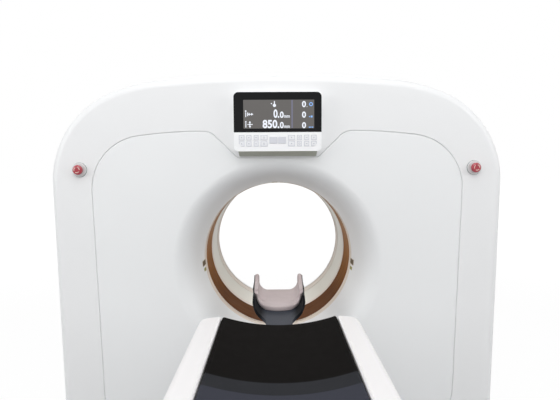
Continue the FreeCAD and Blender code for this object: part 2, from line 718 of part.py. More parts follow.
def display_housing():
    """A hollow white housing with a ledge for the glass and a pocket for each key."""
    block = display_block()
    glass_room = box(-FAR, FAR, DISPLAY_FRONT_Y - 1, DISPLAY_FRONT_Y + GLASS_THICKNESS,
                     GLASS_BOTTOM_Z, FAR)
    inside_front = DISPLAY_FRONT_Y + KEY_POCKET_DEPTH + DISPLAY_WALL
    reach = DISPLAY_HALF_WIDTH - DISPLAY_WALL
    hollow = box(-reach, reach, inside_front, FRONT_Y, DISPLAY_LIP_Z + DISPLAY_WALL,
                 DISPLAY_TOP_Z - DISPLAY_WALL)
    corner = DISPLAY_CORNER_RADIUS - DISPLAY_WALL
    edges = [edge for edge in hollow.Edges
             if abs(edge.Vertexes[0].Point.y - edge.Vertexes[-1].Point.y) > 1
             and edge.Vertexes[0].Point.z > DISPLAY_TOP_Z - 2 * DISPLAY_WALL]
    hollow = hollow.makeFillet(corner, edges)
    pockets = [key_shape(*place[1:], KEY_CLEARANCE, DISPLAY_FRONT_Y - 1,
                         DISPLAY_FRONT_Y + KEY_POCKET_DEPTH) for place in key_places()]
    return block.cut([glass_room, hollow] + pockets)


# ---------------------------------------------------------------- emergency stops
def estop_ring(x):
    front = FRONT_Y - ESTOP_RING_THICKNESS
    ring = rod_y(ESTOP_RING_RADIUS, front, FRONT_Y, x, ESTOP_Z)
    return ring.cut(rod_y(ESTOP_STEM_RADIUS + ESTOP_CLEARANCE, front - 1, FRONT_Y + 1, x, ESTOP_Z))


def estop_rings():
    return Part.makeCompound([estop_ring(-ESTOP_X), estop_ring(ESTOP_X)])


def estop_cap_back():
    return FRONT_Y - ESTOP_RING_THICKNESS - ESTOP_TRAVEL - ESTOP_REST_GAP


def estop_bore_end():
    return estop_cap_back() - ESTOP_BORE_SHARE * ESTOP_CAP_THICKNESS


def estop_stem(x):
    """The square plunger that slides in the ring and ends inside the cap."""
    half = ESTOP_STEM_RADIUS * math.sqrt(0.5)
    return box(x - half, x + half, estop_bore_end() + ESTOP_CLEARANCE, FRONT_Y + ESTOP_STEM_TAIL,
               ESTOP_Z - half, ESTOP_Z + half)


def estop_cap(x):
    """A mushroom head whose rim has flats for the fingers, bored for its plunger."""
    back = estop_cap_back()
    rings = []
    for radius_share, depth_share in ESTOP_CAP_PROFILE:
        radius = radius_share * ESTOP_CAP_RADIUS
        y = back - depth_share * ESTOP_CAP_THICKNESS
        angles = [2 * math.pi * step / ESTOP_CAP_FLATS for step in range(ESTOP_CAP_FLATS)]
        rings.append([(x + radius * math.cos(angle), y, ESTOP_Z + radius * math.sin(angle))
                      for angle in angles])
    cap = flat_sided(rings)
    return cap.cut(rod_y(ESTOP_STEM_RADIUS + ESTOP_TURN_FIT, estop_bore_end(), back + 1, x, ESTOP_Z))


# ---------------------------------------------------------------- gantry frame
def cover_post(y):
    """One post on the +X side, with brackets that seat on the inside of the covers."""
    half = POST_SIZE / 2
    post = box(POST_X, POST_X + POST_SIZE, y - half, y + half, POST_BEAM_HEIGHT, POST_TOP_Z)
    room = cover_block(COVER_WALL, y - FAR, y + FAR)
    arms = [box(POST_X + POST_SIZE, FAR, y - half, y + half, z, z + BRACKET_SIZE).common(room)
            for z in BRACKET_HEIGHTS]
    return fuse(post, *arms)


def base_frame():
    """Floor plate, stator beam, the beams under the cover posts, and the posts."""
    plate = box(-BASE_HALF_WIDTH, BASE_HALF_WIDTH, BASE_FRONT_Y, BASE_REAR_Y, 0, BASE_PLATE)
    seat = box(-STATOR_FOOT_HALF_WIDTH, STATOR_FOOT_HALF_WIDTH, STATOR_FRONT_Y - POST_SIZE / 2,
               STATOR_REAR_Y + POST_SIZE / 2, BASE_PLATE, BASE_TOP_Z)
    parts = [seat]
    half = POST_SIZE / 2
    reach = POST_X + POST_SIZE
    for y in (FRONT_SPLIT_Y, REAR_SPLIT_Y):
        parts.append(box(-reach, reach, y - half, y + half, 0, POST_BEAM_HEIGHT))
        post = cover_post(y)
        parts.extend([post, mirrored(post)])
    return fuse(plate, *parts)


def stator_frame():
    """The upright ring on two legs that carries the main bearing."""
    ring = rod_y(STATOR_RADIUS, STATOR_FRONT_Y, STATOR_REAR_Y)
    legs = polygon([(-STATOR_FOOT_HALF_WIDTH, STATOR_FRONT_Y, BASE_TOP_Z),
                    (STATOR_FOOT_HALF_WIDTH, STATOR_FRONT_Y, BASE_TOP_Z),
                    (STATOR_KNEE_HALF_WIDTH, STATOR_FRONT_Y, BORE_AXIS_Z),
                    (-STATOR_KNEE_HALF_WIDTH, STATOR_FRONT_Y, BORE_AXIS_Z)])
    frame = fuse(ring, prism(legs, Vector(0, STATOR_THICKNESS, 0)))
    bore = rod_y(STATOR_BORE, STATOR_FRONT_Y - 1, STATOR_REAR_Y + 1)
    window = box(-STATOR_WINDOW_HALF_WIDTH, STATOR_WINDOW_HALF_WIDTH, STATOR_FRONT_Y - 1,
                 STATOR_REAR_Y + 1, BASE_TOP_Z + STATOR_WINDOW_SILL, STATOR_WINDOW_TOP)
    shaft = rod_y(STATOR_SHAFT_HOLE, STATOR_FRONT_Y - 1, STATOR_REAR_Y + 1, MOTOR_X, MOTOR_Z)
    return frame.cut([bore, window, shaft])


def bearing_outer_ring():
    return tube_y(BEARING_RADIUS, BEARING_OUTER, ROTOR_REAR_Y + NECK_GAP, STATOR_FRONT_Y)


# ---------------------------------------------------------------- rotor
def rotor_drum():
    """One casting: carrier plate with the belt's rim, bearing seat and the slip ring's neck."""
    race = BEARING_RADIUS - BEARING_GAP
    race_end = STATOR_FRONT_Y - NECK_GAP
    return revolved([(ROTOR_BORE, ROTOR_FRONT_Y), (ROTOR_RADIUS, ROTOR_FRONT_Y),
                     (ROTOR_RADIUS, ROTOR_REAR_Y), (race, ROTOR_REAR_Y), (race, race_end),
                     (NECK_OUTER, race_end), (NECK_OUTER, NECK_END_Y), (ROTOR_BORE, NECK_END_Y)])


def slip_track_radii():
    pitch = (SLIP_RING_OUTER - NECK_OUTER) / SLIP_TRACKS
    return [NECK_OUTER + pitch * (step + 0.5) for step in range(SLIP_TRACKS)]


def slip_ring():
    """The flat disc that carries power and data to the brushes."""
    return tube_y(NECK_OUTER, SLIP_RING_OUTER, SLIP_RING_Y, SLIP_RING_Y + SLIP_RING_THICKNESS)


def brush_block():
    """A bracket on the stator, behind the slip ring, with one brush for each track."""
    rear = SLIP_RING_Y + SLIP_RING_THICKNESS
    half = BRUSH_BLOCK_WIDTH / 2
    rim = SLIP_RING_OUTER + 2 * BRUSH_WIDTH
    foot_z = BORE_AXIS_Z + STATOR_RADIUS
    holder = box(-half, half, rear + BRUSH_WIDTH, rear + BRUSH_WIDTH + BRUSH_BLOCK_THICKNESS,
                 BORE_AXIS_Z + NECK_OUTER, foot_z)
    arm = box(-half, half, STATOR_REAR_Y, rear + BRUSH_WIDTH, BORE_AXIS_Z + rim, foot_z)
    brushes = [box(-half / 2, half / 2, rear + BRUSH_GAP, rear + BRUSH_WIDTH,
                   BORE_AXIS_Z + radius - BRUSH_WIDTH / 2, BORE_AXIS_Z + radius + BRUSH_WIDTH / 2)
               for radius in slip_track_radii()]
    return fuse(holder, arm, *brushes)


def x_ray_tube():
    """The tube's oil-filled casing, with a cap on its free end."""
    z = BORE_AXIS_Z + FOCUS_RADIUS
    front = ROTOR_FRONT_Y - TUBE_LENGTH
    casing = rod_y(TUBE_RADIUS, front, ROTOR_FRONT_Y, 0, z)
    cap = rod_y(TUBE_CAP_RADIUS, front - TUBE_CAP_LENGTH, front, 0, z)
    return fuse(casing, cap)


def collimator():
    """The shaping box between the tube and the bore, with the beam's slot through it."""
    top = BORE_AXIS_Z + FOCUS_RADIUS - TUBE_RADIUS
    y0 = ROTOR_FRONT_Y - COLLIMATOR_DEPTH
    block = box(-COLLIMATOR_HALF_WIDTH, COLLIMATOR_HALF_WIDTH, y0, ROTOR_FRONT_Y,
                top - COLLIMATOR_HEIGHT, top)
    half = COLLIMATOR_SLOT_WIDTH / 2
    slot = box(-COLLIMATOR_SLOT_HALF_WIDTH, COLLIMATOR_SLOT_HALF_WIDTH, -half, half,
               top - COLLIMATOR_HEIGHT - 1, top + 1)
    return block.cut(slot)


def sector(inner, outer, half_angle, y0, y1):
    """A ring sector about the tube's axis that opens downwards."""
    z = BORE_AXIS_Z + FOCUS_RADIUS
    ring = Part.makeCylinder(outer, y1 - y0, Vector(0, y0, z), Vector(0, 1, 0))
    ring = ring.cut(Part.makeCylinder(inner, y1 - y0, Vector(0, y0, z), Vector(0, 1, 0)))
    reach = 2 * outer
    spread = reach * math.tan(math.radians(half_angle))
    wedge = polygon([(0, y0, z), (spread, y0, z - reach), (-spread, y0, z - reach)])
    return ring.common(prism(wedge, Vector(0, y1 - y0, 0)))


def detector_array():
    """The arc of detector modules, with ribs on the side that faces away from the bore."""
    front = ROTOR_FRONT_Y - DETECTOR_WIDTH
    outer = DETECTOR_RADIUS + DETECTOR_THICKNESS
    arc = sector(DETECTOR_RADIUS, outer, DETECTOR_HALF_ANGLE, front, ROTOR_FRONT_Y)
    z = BORE_AXIS_Z + FOCUS_RADIUS
    ribs = []
    for step in range(DETECTOR_RIBS):
        angle = DETECTOR_HALF_ANGLE * (2 * (step + 0.5) / DETECTOR_RIBS - 1)
        rib = box(-DETECTOR_RIB / 2, DETECTOR_RIB / 2, front + DETECTOR_RIB,
                  ROTOR_FRONT_Y - DETECTOR_RIB, z - outer - DETECTOR_RIB_HEIGHT,
                  z - outer + DETECTOR_RIB)
        rib.rotate(Vector(0, 0, z), Vector(0, 1, 0), angle)
        ribs.append(rib)
    return fuse(arc, *ribs)


def hv_generator():
    """The high-voltage tank, with a lid that stands proud."""
    lid = GENERATOR_LID
    front = ROTOR_FRONT_Y - GENERATOR_DEPTH
    tank = box(GENERATOR_INNER_X, GENERATOR_INNER_X + GENERATOR_WIDTH, front, ROTOR_FRONT_Y,
               BORE_AXIS_Z - GENERATOR_HALF_HEIGHT, BORE_AXIS_Z + GENERATOR_HALF_HEIGHT)
    rim = box(GENERATOR_INNER_X - lid, GENERATOR_INNER_X + GENERATOR_WIDTH + lid, front,
              front + 3 * lid, BORE_AXIS_Z - GENERATOR_HALF_HEIGHT - lid,
              BORE_AXIS_Z + GENERATOR_HALF_HEIGHT + lid)
    return fuse(tank, rim)


def tube_cooler():
    """The tube's heat exchanger, which balances the generator: a slotted box with a fan mouth."""
    front = ROTOR_FRONT_Y - GENERATOR_DEPTH
    x0 = -GENERATOR_INNER_X - GENERATOR_WIDTH
    middle = -GENERATOR_INNER_X - GENERATOR_WIDTH / 2
    case = box(x0, -GENERATOR_INNER_X, front, ROTOR_FRONT_Y, BORE_AXIS_Z - GENERATOR_HALF_HEIGHT,
               BORE_AXIS_Z + GENERATOR_HALF_HEIGHT)
    mouth = rod_y(COOLER_FAN_RADIUS, front - 1, front + COOLER_FAN_DEPTH, middle, BORE_AXIS_Z)
    slots = []
    for row in range(COOLER_SLOTS):
        z = BORE_AXIS_Z + GENERATOR_HALF_HEIGHT - (row + 1) * COOLER_SLOT_PITCH
        slots.append(box(x0 - 1, x0 + COOLER_SLOT_DEPTH, front + COOLER_SLOT_PITCH,
                         ROTOR_FRONT_Y - COOLER_SLOT_PITCH, z - COOLER_SLOT_HEIGHT, z))
    return case.cut([mouth] + slots)


# ---------------------------------------------------------------- rotor drive
def drive_motor():
    y = STATOR_REAR_Y
    case = rod_y(MOTOR_RADIUS, y, y + MOTOR_LENGTH, MOTOR_X, MOTOR_Z)
    flange = box(MOTOR_X - MOTOR_RADIUS, MOTOR_X + MOTOR_RADIUS, y, y + MOTOR_FLANGE,
                 MOTOR_Z - MOTOR_RADIUS, MOTOR_Z + MOTOR_RADIUS)
    shaft = rod_y(SHAFT_RADIUS + SHAFT_FIT, y - 1, y + MOTOR_LENGTH / 2, MOTOR_X, MOTOR_Z)
    return fuse(case, flange).cut(shaft)


def belt_middle_y():
    return ROTOR_FRONT_Y + ROTOR_PLATE / 2


def motor_pulley():
    """The small pulley and the motor's shaft."""
    y0 = belt_middle_y() - BELT_WIDTH / 2 - 1
    wheel = rod_y(PULLEY_RADIUS, y0, y0 + BELT_WIDTH + 2, MOTOR_X, MOTOR_Z)
    shaft = rod_y(SHAFT_RADIUS, y0, STATOR_REAR_Y + MOTOR_LENGTH / 2 - 1, MOTOR_X, MOTOR_Z)
    return fuse(wheel, shaft)


def belt_loop(grow):
    """The outline round both pulleys, this far outside their faces, as a flat wire."""
    big = ROTOR_RADIUS + grow
    small = PULLEY_RADIUS + grow
    dx = MOTOR_X
    dz = MOTOR_Z - BORE_AXIS_Z
    distance = math.hypot(dx, dz)
    heading = math.atan2(dz, dx)
    spread = math.acos((big - small) / distance)

    def point(cx, cz, radius, angle):
        return Vector(cx + radius * math.cos(angle), 0, cz + radius * math.sin(angle))

    def big_at(angle):
        return point(0, BORE_AXIS_Z, big, angle)

    def small_at(angle):
        return point(MOTOR_X, MOTOR_Z, small, angle)

    left = heading + spread
    right = heading - spread
    edges = [Part.Arc(big_at(left), big_at(heading + math.pi), big_at(right)).toShape(),
             Part.Arc(small_at(left), small_at(heading), small_at(right)).toShape(),
             Part.makeLine(big_at(left), small_at(left)),
             Part.makeLine(big_at(right), small_at(right))]
    return Part.Wire(Part.__sortEdges__(edges))


def drive_belt():
    solids = []
    for grow in (BELT_CLEARANCE + BELT_THICKNESS, BELT_CLEARANCE):
        wire = belt_loop(grow)
        wire.translate(Vector(0, belt_middle_y() - BELT_WIDTH / 2, 0))
        solids.append(prism(wire, Vector(0, BELT_WIDTH, 0)))
    return solids[0].cut(solids[1])


# ---------------------------------------------------------------- table base and lift
def table_base_frame():
    """Floor plate, pivot brackets and pins, and the duct that ties it to the gantry."""
    plate = box(-TABLE_PLATE_HALF_WIDTH, TABLE_PLATE_HALF_WIDTH, TABLE_PLATE_FOOT_Y,
                TABLE_PLATE_FRONT_Y, 0, TABLE_PLATE)
    duct = box(-DUCT_HALF_WIDTH, DUCT_HALF_WIDTH, TABLE_PLATE_FRONT_Y, BASE_FRONT_Y, 0, DUCT_HEIGHT)
    parts = [duct]
    for y in PIVOT_BASE_Y:
        cheek = box(BRACKET_X, BRACKET_X + BRACKET_PLATE, y - BRACKET_HALF_WIDTH,
                    y + BRACKET_HALF_WIDTH, TABLE_PLATE, ARM_BASE_Z)
        eye = rod_x(ARM_BOSS_RADIUS, BRACKET_X, BRACKET_X + BRACKET_PLATE, y, ARM_BASE_Z)
        parts += [cheek, eye, mirrored(cheek), mirrored(eye)]
        reach = BRACKET_X + BRACKET_PLATE
        parts.append(rod_x(PIVOT_RADIUS, -reach, reach, y, ARM_BASE_Z))
    return fuse(plate, *parts)


def lift_arm(base_y):
    """A straight arm with a full-width eye at each end."""
    turn = 180.0 - ARM_REST_ANGLE
    ends = (base_y, base_y + ARM_LENGTH)
    beam = box(-ARM_HALF_WIDTH, ARM_HALF_WIDTH, *ends, ARM_BASE_Z - ARM_HALF_HEIGHT,
               ARM_BASE_Z + ARM_HALF_HEIGHT)
    eyes = [rod_x(ARM_BOSS_RADIUS, -ARM_HALF_WIDTH, ARM_HALF_WIDTH, y, ARM_BASE_Z) for y in ends]
    holes = [rod_x(PIVOT_RADIUS + PIVOT_FIT, -FAR, FAR, y, ARM_BASE_Z) for y in ends]
    arm = fuse(beam, *eyes).cut(holes)
    arm.rotate(Vector(0, base_y, ARM_BASE_Z), Vector(1, 0, 0), turn)
    return arm


def lift_arm_front():
    return lift_arm(PIVOT_BASE_Y[0])


def lift_arm_rear():
    return lift_arm(PIVOT_BASE_Y[1])


def lift_gearmotor():
    """Worm gearbox beside the front pivot, with its motor lying along the base."""
    y = PIVOT_BASE_Y[0]
    x0 = BRACKET_X + BRACKET_PLATE
    x1 = x0 + GEARBOX_WIDTH
    half = GEARBOX_SIZE / 2
    gearbox = box(x0, x1, y - half, y + half, TABLE_PLATE, TABLE_PLATE + GEARBOX_SIZE + PIVOT_RADIUS)
    middle = (x0 + x1) / 2
    motor = rod_y(GEARMOTOR_RADIUS, y - half - GEARMOTOR_LENGTH, y - half, middle,
                  TABLE_PLATE + GEARMOTOR_RADIUS)
    return fuse(gearbox, motor)


def plinth_block(inset, z0, z1):
    front = TABLE_PLATE_FRONT_Y + PLINTH_MARGIN - inset
    foot = TABLE_PLATE_FOOT_Y - PLINTH_MARGIN + inset
    half = PLINTH_HALF_WIDTH - inset
    block = box(-half, half, foot, front, z0, z1)
    edges = [edge for edge in block.Edges
             if abs(edge.Vertexes[0].Point.z - edge.Vertexes[-1].Point.z) > 1]
    return block.makeFillet(PLINTH_CORNER_RADIUS - inset, edges)


def table_base_cover():
    """The low white plinth, open on top where the arms rise, on four feet that stand on the plate."""
    shell = plinth_block(0, DUCT_HEIGHT + 1, PLINTH_TOP_Z)
    hollow = plinth_block(PLINTH_WALL, 0, PLINTH_TOP_Z - PLINTH_WALL)
    slot = box(-PLINTH_SLOT_HALF_WIDTH, PLINTH_SLOT_HALF_WIDTH,
               TABLE_PLATE_FOOT_Y - PLINTH_MARGIN + PLINTH_SLOT_END,
               TABLE_PLATE_FRONT_Y + PLINTH_MARGIN - PLINTH_SLOT_END, 0, PLINTH_TOP_Z + 1)
    notch = box(-PLINTH_SLOT_HALF_WIDTH, PLINTH_SLOT_HALF_WIDTH,
                TABLE_PLATE_FOOT_Y - PLINTH_MARGIN - 1,
                TABLE_PLATE_FOOT_Y - PLINTH_MARGIN + PLINTH_SLOT_END + 1,
                PLINTH_NOTCH_Z, PLINTH_TOP_Z + 1)
    feet = []
    for y in (TABLE_PLATE_FRONT_Y - PLINTH_FOOT_INSET, TABLE_PLATE_FOOT_Y + PLINTH_FOOT_INSET):
        foot = box(TABLE_PLATE_HALF_WIDTH - PLINTH_FOOT, PLINTH_HALF_WIDTH - PLINTH_WALL / 2,
                   y - PLINTH_FOOT, y + PLINTH_FOOT, TABLE_PLATE, TABLE_PLATE + PLINTH_FOOT)
        feet += [foot, mirrored(foot)]
    return fuse(shell.cut([hollow, slot, notch]), *feet)


# ---------------------------------------------------------------- table carriage and body
def carriage_frame():
    """Two long beams, cross beams, and the cheeks and pins that the arms hold."""
    z0 = CARRIAGE_TOP_Z - CARRIAGE_BEAM_HEIGHT
    front = BODY_END_Y - CARRIAGE_END_GAP
    foot = BODY_FOOT_Y + CARRIAGE_END_GAP
    beam = box(CARRIAGE_X, CARRIAGE_X + CARRIAGE_BEAM_WIDTH, foot, front, z0, CARRIAGE_TOP_Z)
    parts = [mirrored(beam)]
    pivot_z = ARM_BASE_Z + ARM_RISE
    pivots = [y - ARM_REACH for y in PIVOT_BASE_Y]
    for y in [front - CROSS_BEAM_WIDTH / 2, foot + CROSS_BEAM_WIDTH / 2] + pivots:
        parts.append(box(-CARRIAGE_X, CARRIAGE_X, y - CROSS_BEAM_WIDTH / 2,
                         y + CROSS_BEAM_WIDTH / 2, CARRIAGE_TOP_Z - CROSS_BEAM_HEIGHT / 2,
                         CARRIAGE_TOP_Z))
    for y in pivots:
        outer_x = BRACKET_X + BRACKET_PLATE
        cheek = box(BRACKET_X, outer_x, y - BRACKET_HALF_WIDTH, y + BRACKET_HALF_WIDTH,
                    pivot_z, CARRIAGE_TOP_Z)
        eye = rod_x(ARM_BOSS_RADIUS, BRACKET_X, outer_x, y, pivot_z)
        parts += [cheek, eye, mirrored(cheek), mirrored(eye)]
        parts.append(rod_x(PIVOT_RADIUS, -outer_x, outer_x, y, pivot_z))
    return fuse(beam, *parts)


def body_plan(inset):
    """Upright block with the rounded corners that the body has seen from above."""
    half = BODY_HALF_WIDTH - inset
    block = box(-half, half, BODY_FOOT_Y + inset, BODY_END_Y - inset, 0, FAR)
    for y, radius in ((BODY_END_Y, BODY_END_RADIUS), (BODY_FOOT_Y, BODY_FOOT_RADIUS)):
        edges = [edge for edge in block.Edges
                 if abs(edge.Vertexes[0].Point.z - edge.Vertexes[-1].Point.z) > 1
                 and abs(edge.Vertexes[0].Point.y - y) < 2 * inset + 1]
        block = block.makeFillet(radius - inset, edges)
    return block


def body_block(inset, bottom):
    wire = body_outline(inset, bottom)
    wire.translate(Vector(0, BODY_FOOT_Y - 1, 0))
    return prism(wire, Vector(0, BODY_LENGTH + 2, 0)).common(body_plan(inset))


def table_body_cover():
    """The long white body: side rails, the trough for the cradle, and sides that lean in."""
    return body_block(0, BODY_BOTTOM_Z).cut(body_block(BODY_WALL, BODY_BOTTOM_Z - 1))


def dished(radius_top, radius_bottom, half_width, y0, y1):
    """A plate between two arcs with the cushion's shared centre, cut to a half width."""
    outer = rod_y(radius_bottom, y0, y1, 0, CUSHION_ARC_Z)
    inner = rod_y(radius_top, y0 - 1, y1 + 1, 0, CUSHION_ARC_Z)
    return outer.cut(inner).common(box(-half_width, half_width, y0, y1, 0, CUSHION_EDGE_Z + 1))


def cradle_rails():
    """The two rails on the floor of the trough, and the slide pad at its mouth."""
    half = RAIL_WIDTH / 2
    front = BODY_END_Y - 2 * PAD_WIDTH
    rail = box(RAIL_X - half, RAIL_X + half, BODY_FOOT_Y + PAD_WIDTH, front, TROUGH_FLOOR_Z,
               TROUGH_FLOOR_Z + RAIL_HEIGHT)
    pad = box(-RAIL_X, RAIL_X, front, front + PAD_WIDTH, TROUGH_FLOOR_Z, CUSHION_EDGE_Z)
    pan = rod_y(CRADLE_BOTTOM_RADIUS + RAIL_GAP, front - 1, front + PAD_WIDTH + 1, 0, CUSHION_ARC_Z)
    return Part.makeCompound([rail, mirrored(rail), pad.cut(pan)])


def cradle():
    """The long dished pan with the runners that hold it to the rails."""
    pan = dished(CRADLE_TOP_RADIUS, CRADLE_BOTTOM_RADIUS, CRADLE_HALF_WIDTH, CRADLE_FOOT_Y,
                 CRADLE_END_Y)
    socket = box(-TONGUE_HALF_WIDTH - TONGUE_CLEARANCE, TONGUE_HALF_WIDTH + TONGUE_CLEARANCE,
                 CRADLE_END_Y - TONGUE_LENGTH - TONGUE_CLEARANCE, CRADLE_END_Y + 1,
                 tongue_z() - TONGUE_CLEARANCE, tongue_z() + TONGUE_THICKNESS + TONGUE_CLEARANCE)
    rail_top = TROUGH_FLOOR_Z + RAIL_HEIGHT
    half = RAIL_WIDTH / 2
    foot = CRADLE_FOOT_Y + RUNNER_MARGIN
    outside = half + RAIL_GAP + RUNNER_LEG
    block = box(RAIL_X - outside, RAIL_X + outside, foot, foot + RUNNER_LENGTH,
                TROUGH_FLOOR_Z + RUNNER_LEG, rail_top + RAIL_GAP + RUNNER_WEB + CRADLE_THICKNESS)
    groove = box(RAIL_X - half - RAIL_GAP, RAIL_X + half + RAIL_GAP, foot, foot + RUNNER_LENGTH,
                 0, rail_top + RAIL_GAP)
    above = rod_y(CRADLE_TOP_RADIUS + CRADLE_THICKNESS / 2, foot, foot + RUNNER_LENGTH, 0,
                  CUSHION_ARC_Z)
    runner = block.cut(groove).cut(above)
    return fuse(pan.cut(socket), runner, mirrored(runner))


def cushion():
    """The dished foam mat, with softened long edges."""
    mat = dished(CUSHION_RADIUS, CRADLE_TOP_RADIUS, CUSHION_HALF_WIDTH,
                 CRADLE_FOOT_Y + CUSHION_FOOT_MARGIN, CRADLE_END_Y)
    edges = [edge for edge in mat.Edges
             if abs(edge.Vertexes[0].Point.y - edge.Vertexes[-1].Point.y) > 1
             and edge.Vertexes[0].Point.z > CUSHION_EDGE_Z - CUSHION_EDGE_RADIUS]
    return mat.makeFillet(CUSHION_EDGE_RADIUS, edges)


# ---------------------------------------------------------------- head holder
def tongue_z():
    return HOLDER_BOTTOM_Z + (HOLDER_NECK_THICKNESS - TONGUE_THICKNESS) / 2


def cup_outline(inset, bottom_inset, radius):
    """The cup across its width: a flat bottom, round corners and upright sides."""
    trail = Trail(0, HOLDER_BOTTOM_Z + bottom_inset, 0)
    trail.to_x(HOLDER_HALF_WIDTH - inset - radius)
    trail.arc(radius, 90)
    trail.to_z(EAR_TOP_Z + 1)
    trail.heading = 180
    trail.to_x(0)
    return trail.closed_by_mirror()


def cup_prism(inset, bottom_inset, radius, y0, y1):
    wire = cup_outline(inset, bottom_inset, radius)
    wire.translate(Vector(0, y0, 0))
    return prism(wire, Vector(0, y1 - y0, 0))


def rim_profile(raised):
    """Upright block under the rim line: it climbs from the neck, runs level and ends in the ears."""
    low = HOLDER_BOTTOM_Z - 1
    rim = HOLDER_BOTTOM_Z + HOLDER_RIM_HEIGHT + raised
    neck = HOLDER_BOTTOM_Z + HOLDER_NECK_THICKNESS + raised
    top = EAR_TOP_Z + raised
    start = CRADLE_END_Y - 1
    far = HOLDER_FAR_Y
    points = [(start, neck), (NECK_END_NEAR_Y, neck), (HEAD_PAD_NEAR_Y + RIM_CLIMB_END, rim)]
    for length_share, rise_share in EAR_PROFILE:
        points.append((far - length_share * EAR_LENGTH, rim + rise_share * (top - rim)))
    points += [(far + 1, rim + EAR_TIP_SHARE * (top - rim)), (far + 1, low), (start, low)]
    wire = polygon([(-FAR, y, z) for y, z in points])
    return prism(wire, Vector(2 * FAR, 0, 0))


def holder_plan():
    """Upright block around the holder seen from above: the neck swells into the cup."""
    reach = HEAD_PAD_NEAR_Y - NECK_END_NEAR_Y
    swell = HOLDER_HALF_WIDTH + 1 - HOLDER_NECK_HALF_WIDTH
    turn = 2 * math.degrees(math.atan(swell / reach))
    radius = reach / (2 * math.sin(math.radians(turn)))
    trail = Trail(0, CRADLE_END_Y - 1, 0)
    trail.to_x(HOLDER_NECK_HALF_WIDTH)
    trail.heading = 90
    trail.to_z(NECK_END_NEAR_Y)
    trail.arc(radius, -turn)
    trail.arc(radius, turn)
    trail.to_z(HOLDER_FAR_Y + 1)
    trail.heading = 180
    trail.to_x(0)
    plan = trail.closed_by_mirror()
    plan.rotate(Vector(0, 0, 0), Vector(1, 0, 0), -90)
    return prism(plan, Vector(0, 0, FAR))


def head_holder():
    """A carbon shell: tongue, neck, and a cup that opens out of the neck."""
    cup = cup_prism(0, 0, HOLDER_CORNER_RADIUS, CRADLE_END_Y, HOLDER_FAR_Y)
    inside = cup_prism(HOLDER_WALL, HOLDER_NECK_THICKNESS, HOLDER_CORNER_RADIUS - HOLDER_WALL,
                       NECK_END_NEAR_Y, HOLDER_FAR_Y + 1)
    cup = cup.cut(inside).common(rim_profile(0)).common(holder_plan())
    tongue = box(-TONGUE_HALF_WIDTH, TONGUE_HALF_WIDTH, CRADLE_END_Y - TONGUE_LENGTH,
                 CRADLE_END_Y, tongue_z(), tongue_z() + TONGUE_THICKNESS)
    return fuse(cup, tongue)


def pad_plan():
    """Upright block around the pad seen from above, with a round near end."""
    middle = HEAD_PAD_NEAR_Y + HOLDER_HALF_WIDTH
    near_end = Part.makeCylinder(HOLDER_HALF_WIDTH, FAR, Vector(0, middle, 0))
    return near_end.fuse(box(-HOLDER_HALF_WIDTH, HOLDER_HALF_WIDTH, middle, 0, 0, FAR))


def head_pad():
    """The grey foam liner of the cup, flat where the head lies, with two tall ears."""
    wall = HOLDER_WALL + HEAD_PAD_GAP
    floor = HOLDER_NECK_THICKNESS + HEAD_PAD_GAP
    outer = cup_prism(wall, floor, HOLDER_CORNER_RADIUS - wall, HEAD_PAD_NEAR_Y, HOLDER_FAR_Y)
    inner = cup_prism(wall + HEAD_PAD_RIM, floor + HEAD_PAD_THICKNESS,
                      HOLDER_CORNER_RADIUS - wall - 2 * HEAD_PAD_RIM, HEAD_PAD_NEAR_Y - 1,
                      HOLDER_FAR_Y + 1)
    pad = outer.cut(inner).common(rim_profile(HEAD_PAD_PROUD))
    return pad.common(holder_plan()).common(pad_plan())


# ---------------------------------------------------------------- export
def parts():
    nodes = {
        "base_frame": base_frame(),
        "stator_frame": stator_frame(),
        "bearing_outer_ring": bearing_outer_ring(),
        "drive_motor": drive_motor(),
        "drive_belt": drive_belt(),
        "brush_block": brush_block(),
        "front_surround": front_surround(),
        "front_panel": front_panel(),
        "side_cover_left": side_cover_left(),
        "side_cover_right": side_cover_right(),
        "top_cover": top_cover(),
        "rear_cover": rear_cover(),
        "scan_window": scan_window(),
        "rear_bore_liner": rear_bore_liner(),
        "laser_windows": laser_windows(),
        "display_housing": display_housing(),
        "display_glass": display_glass(),
        "estop_rings": estop_rings(),
        "estop_stem_left": estop_stem(-ESTOP_X),
        "estop_stem_right": estop_stem(ESTOP_X),
        "estop_cap_left": estop_cap(-ESTOP_X),
        "estop_cap_right": estop_cap(ESTOP_X),
        "rotor_drum": rotor_drum(),
        "slip_ring": slip_ring(),
        "x_ray_tube": x_ray_tube(),
        "collimator": collimator(),
        "detector_array": detector_array(),
        "hv_generator": hv_generator(),
        "tube_cooler": tube_cooler(),
        "motor_pulley": motor_pulley(),
        "table_base_frame": table_base_frame(),
        "table_base_cover": table_base_cover(),
        "lift_gearmotor": lift_gearmotor(),
        "lift_arm_front": lift_arm_front(),
        "lift_arm_rear": lift_arm_rear(),
        "carriage_frame": carriage_frame(),
        "table_body_cover": table_body_cover(),
        "cradle_rails": cradle_rails(),
        "cradle": cradle(),
        "cushion": cushion(),
        "head_holder": head_holder(),
        "head_pad": head_pad(),
    }
    for place in key_places():
        nodes[place[0]] = key(place)
    return nodes


def main():
    os.makedirs("parts", exist_ok=True)
    for name, shape in parts().items():
        solids = shape.Solids
        whole = solids[0] if len(solids) == 1 else Part.makeCompound(solids)
        whole.exportStep(f"parts/{name}.step")


main()
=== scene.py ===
"""CT scanner: the finish of its covers, bore, display, table and head holder.

Metres, +Z up, +Y from the table into the gantry. The origin is on the floor, straight under
the isocentre.
"""
import json
import math

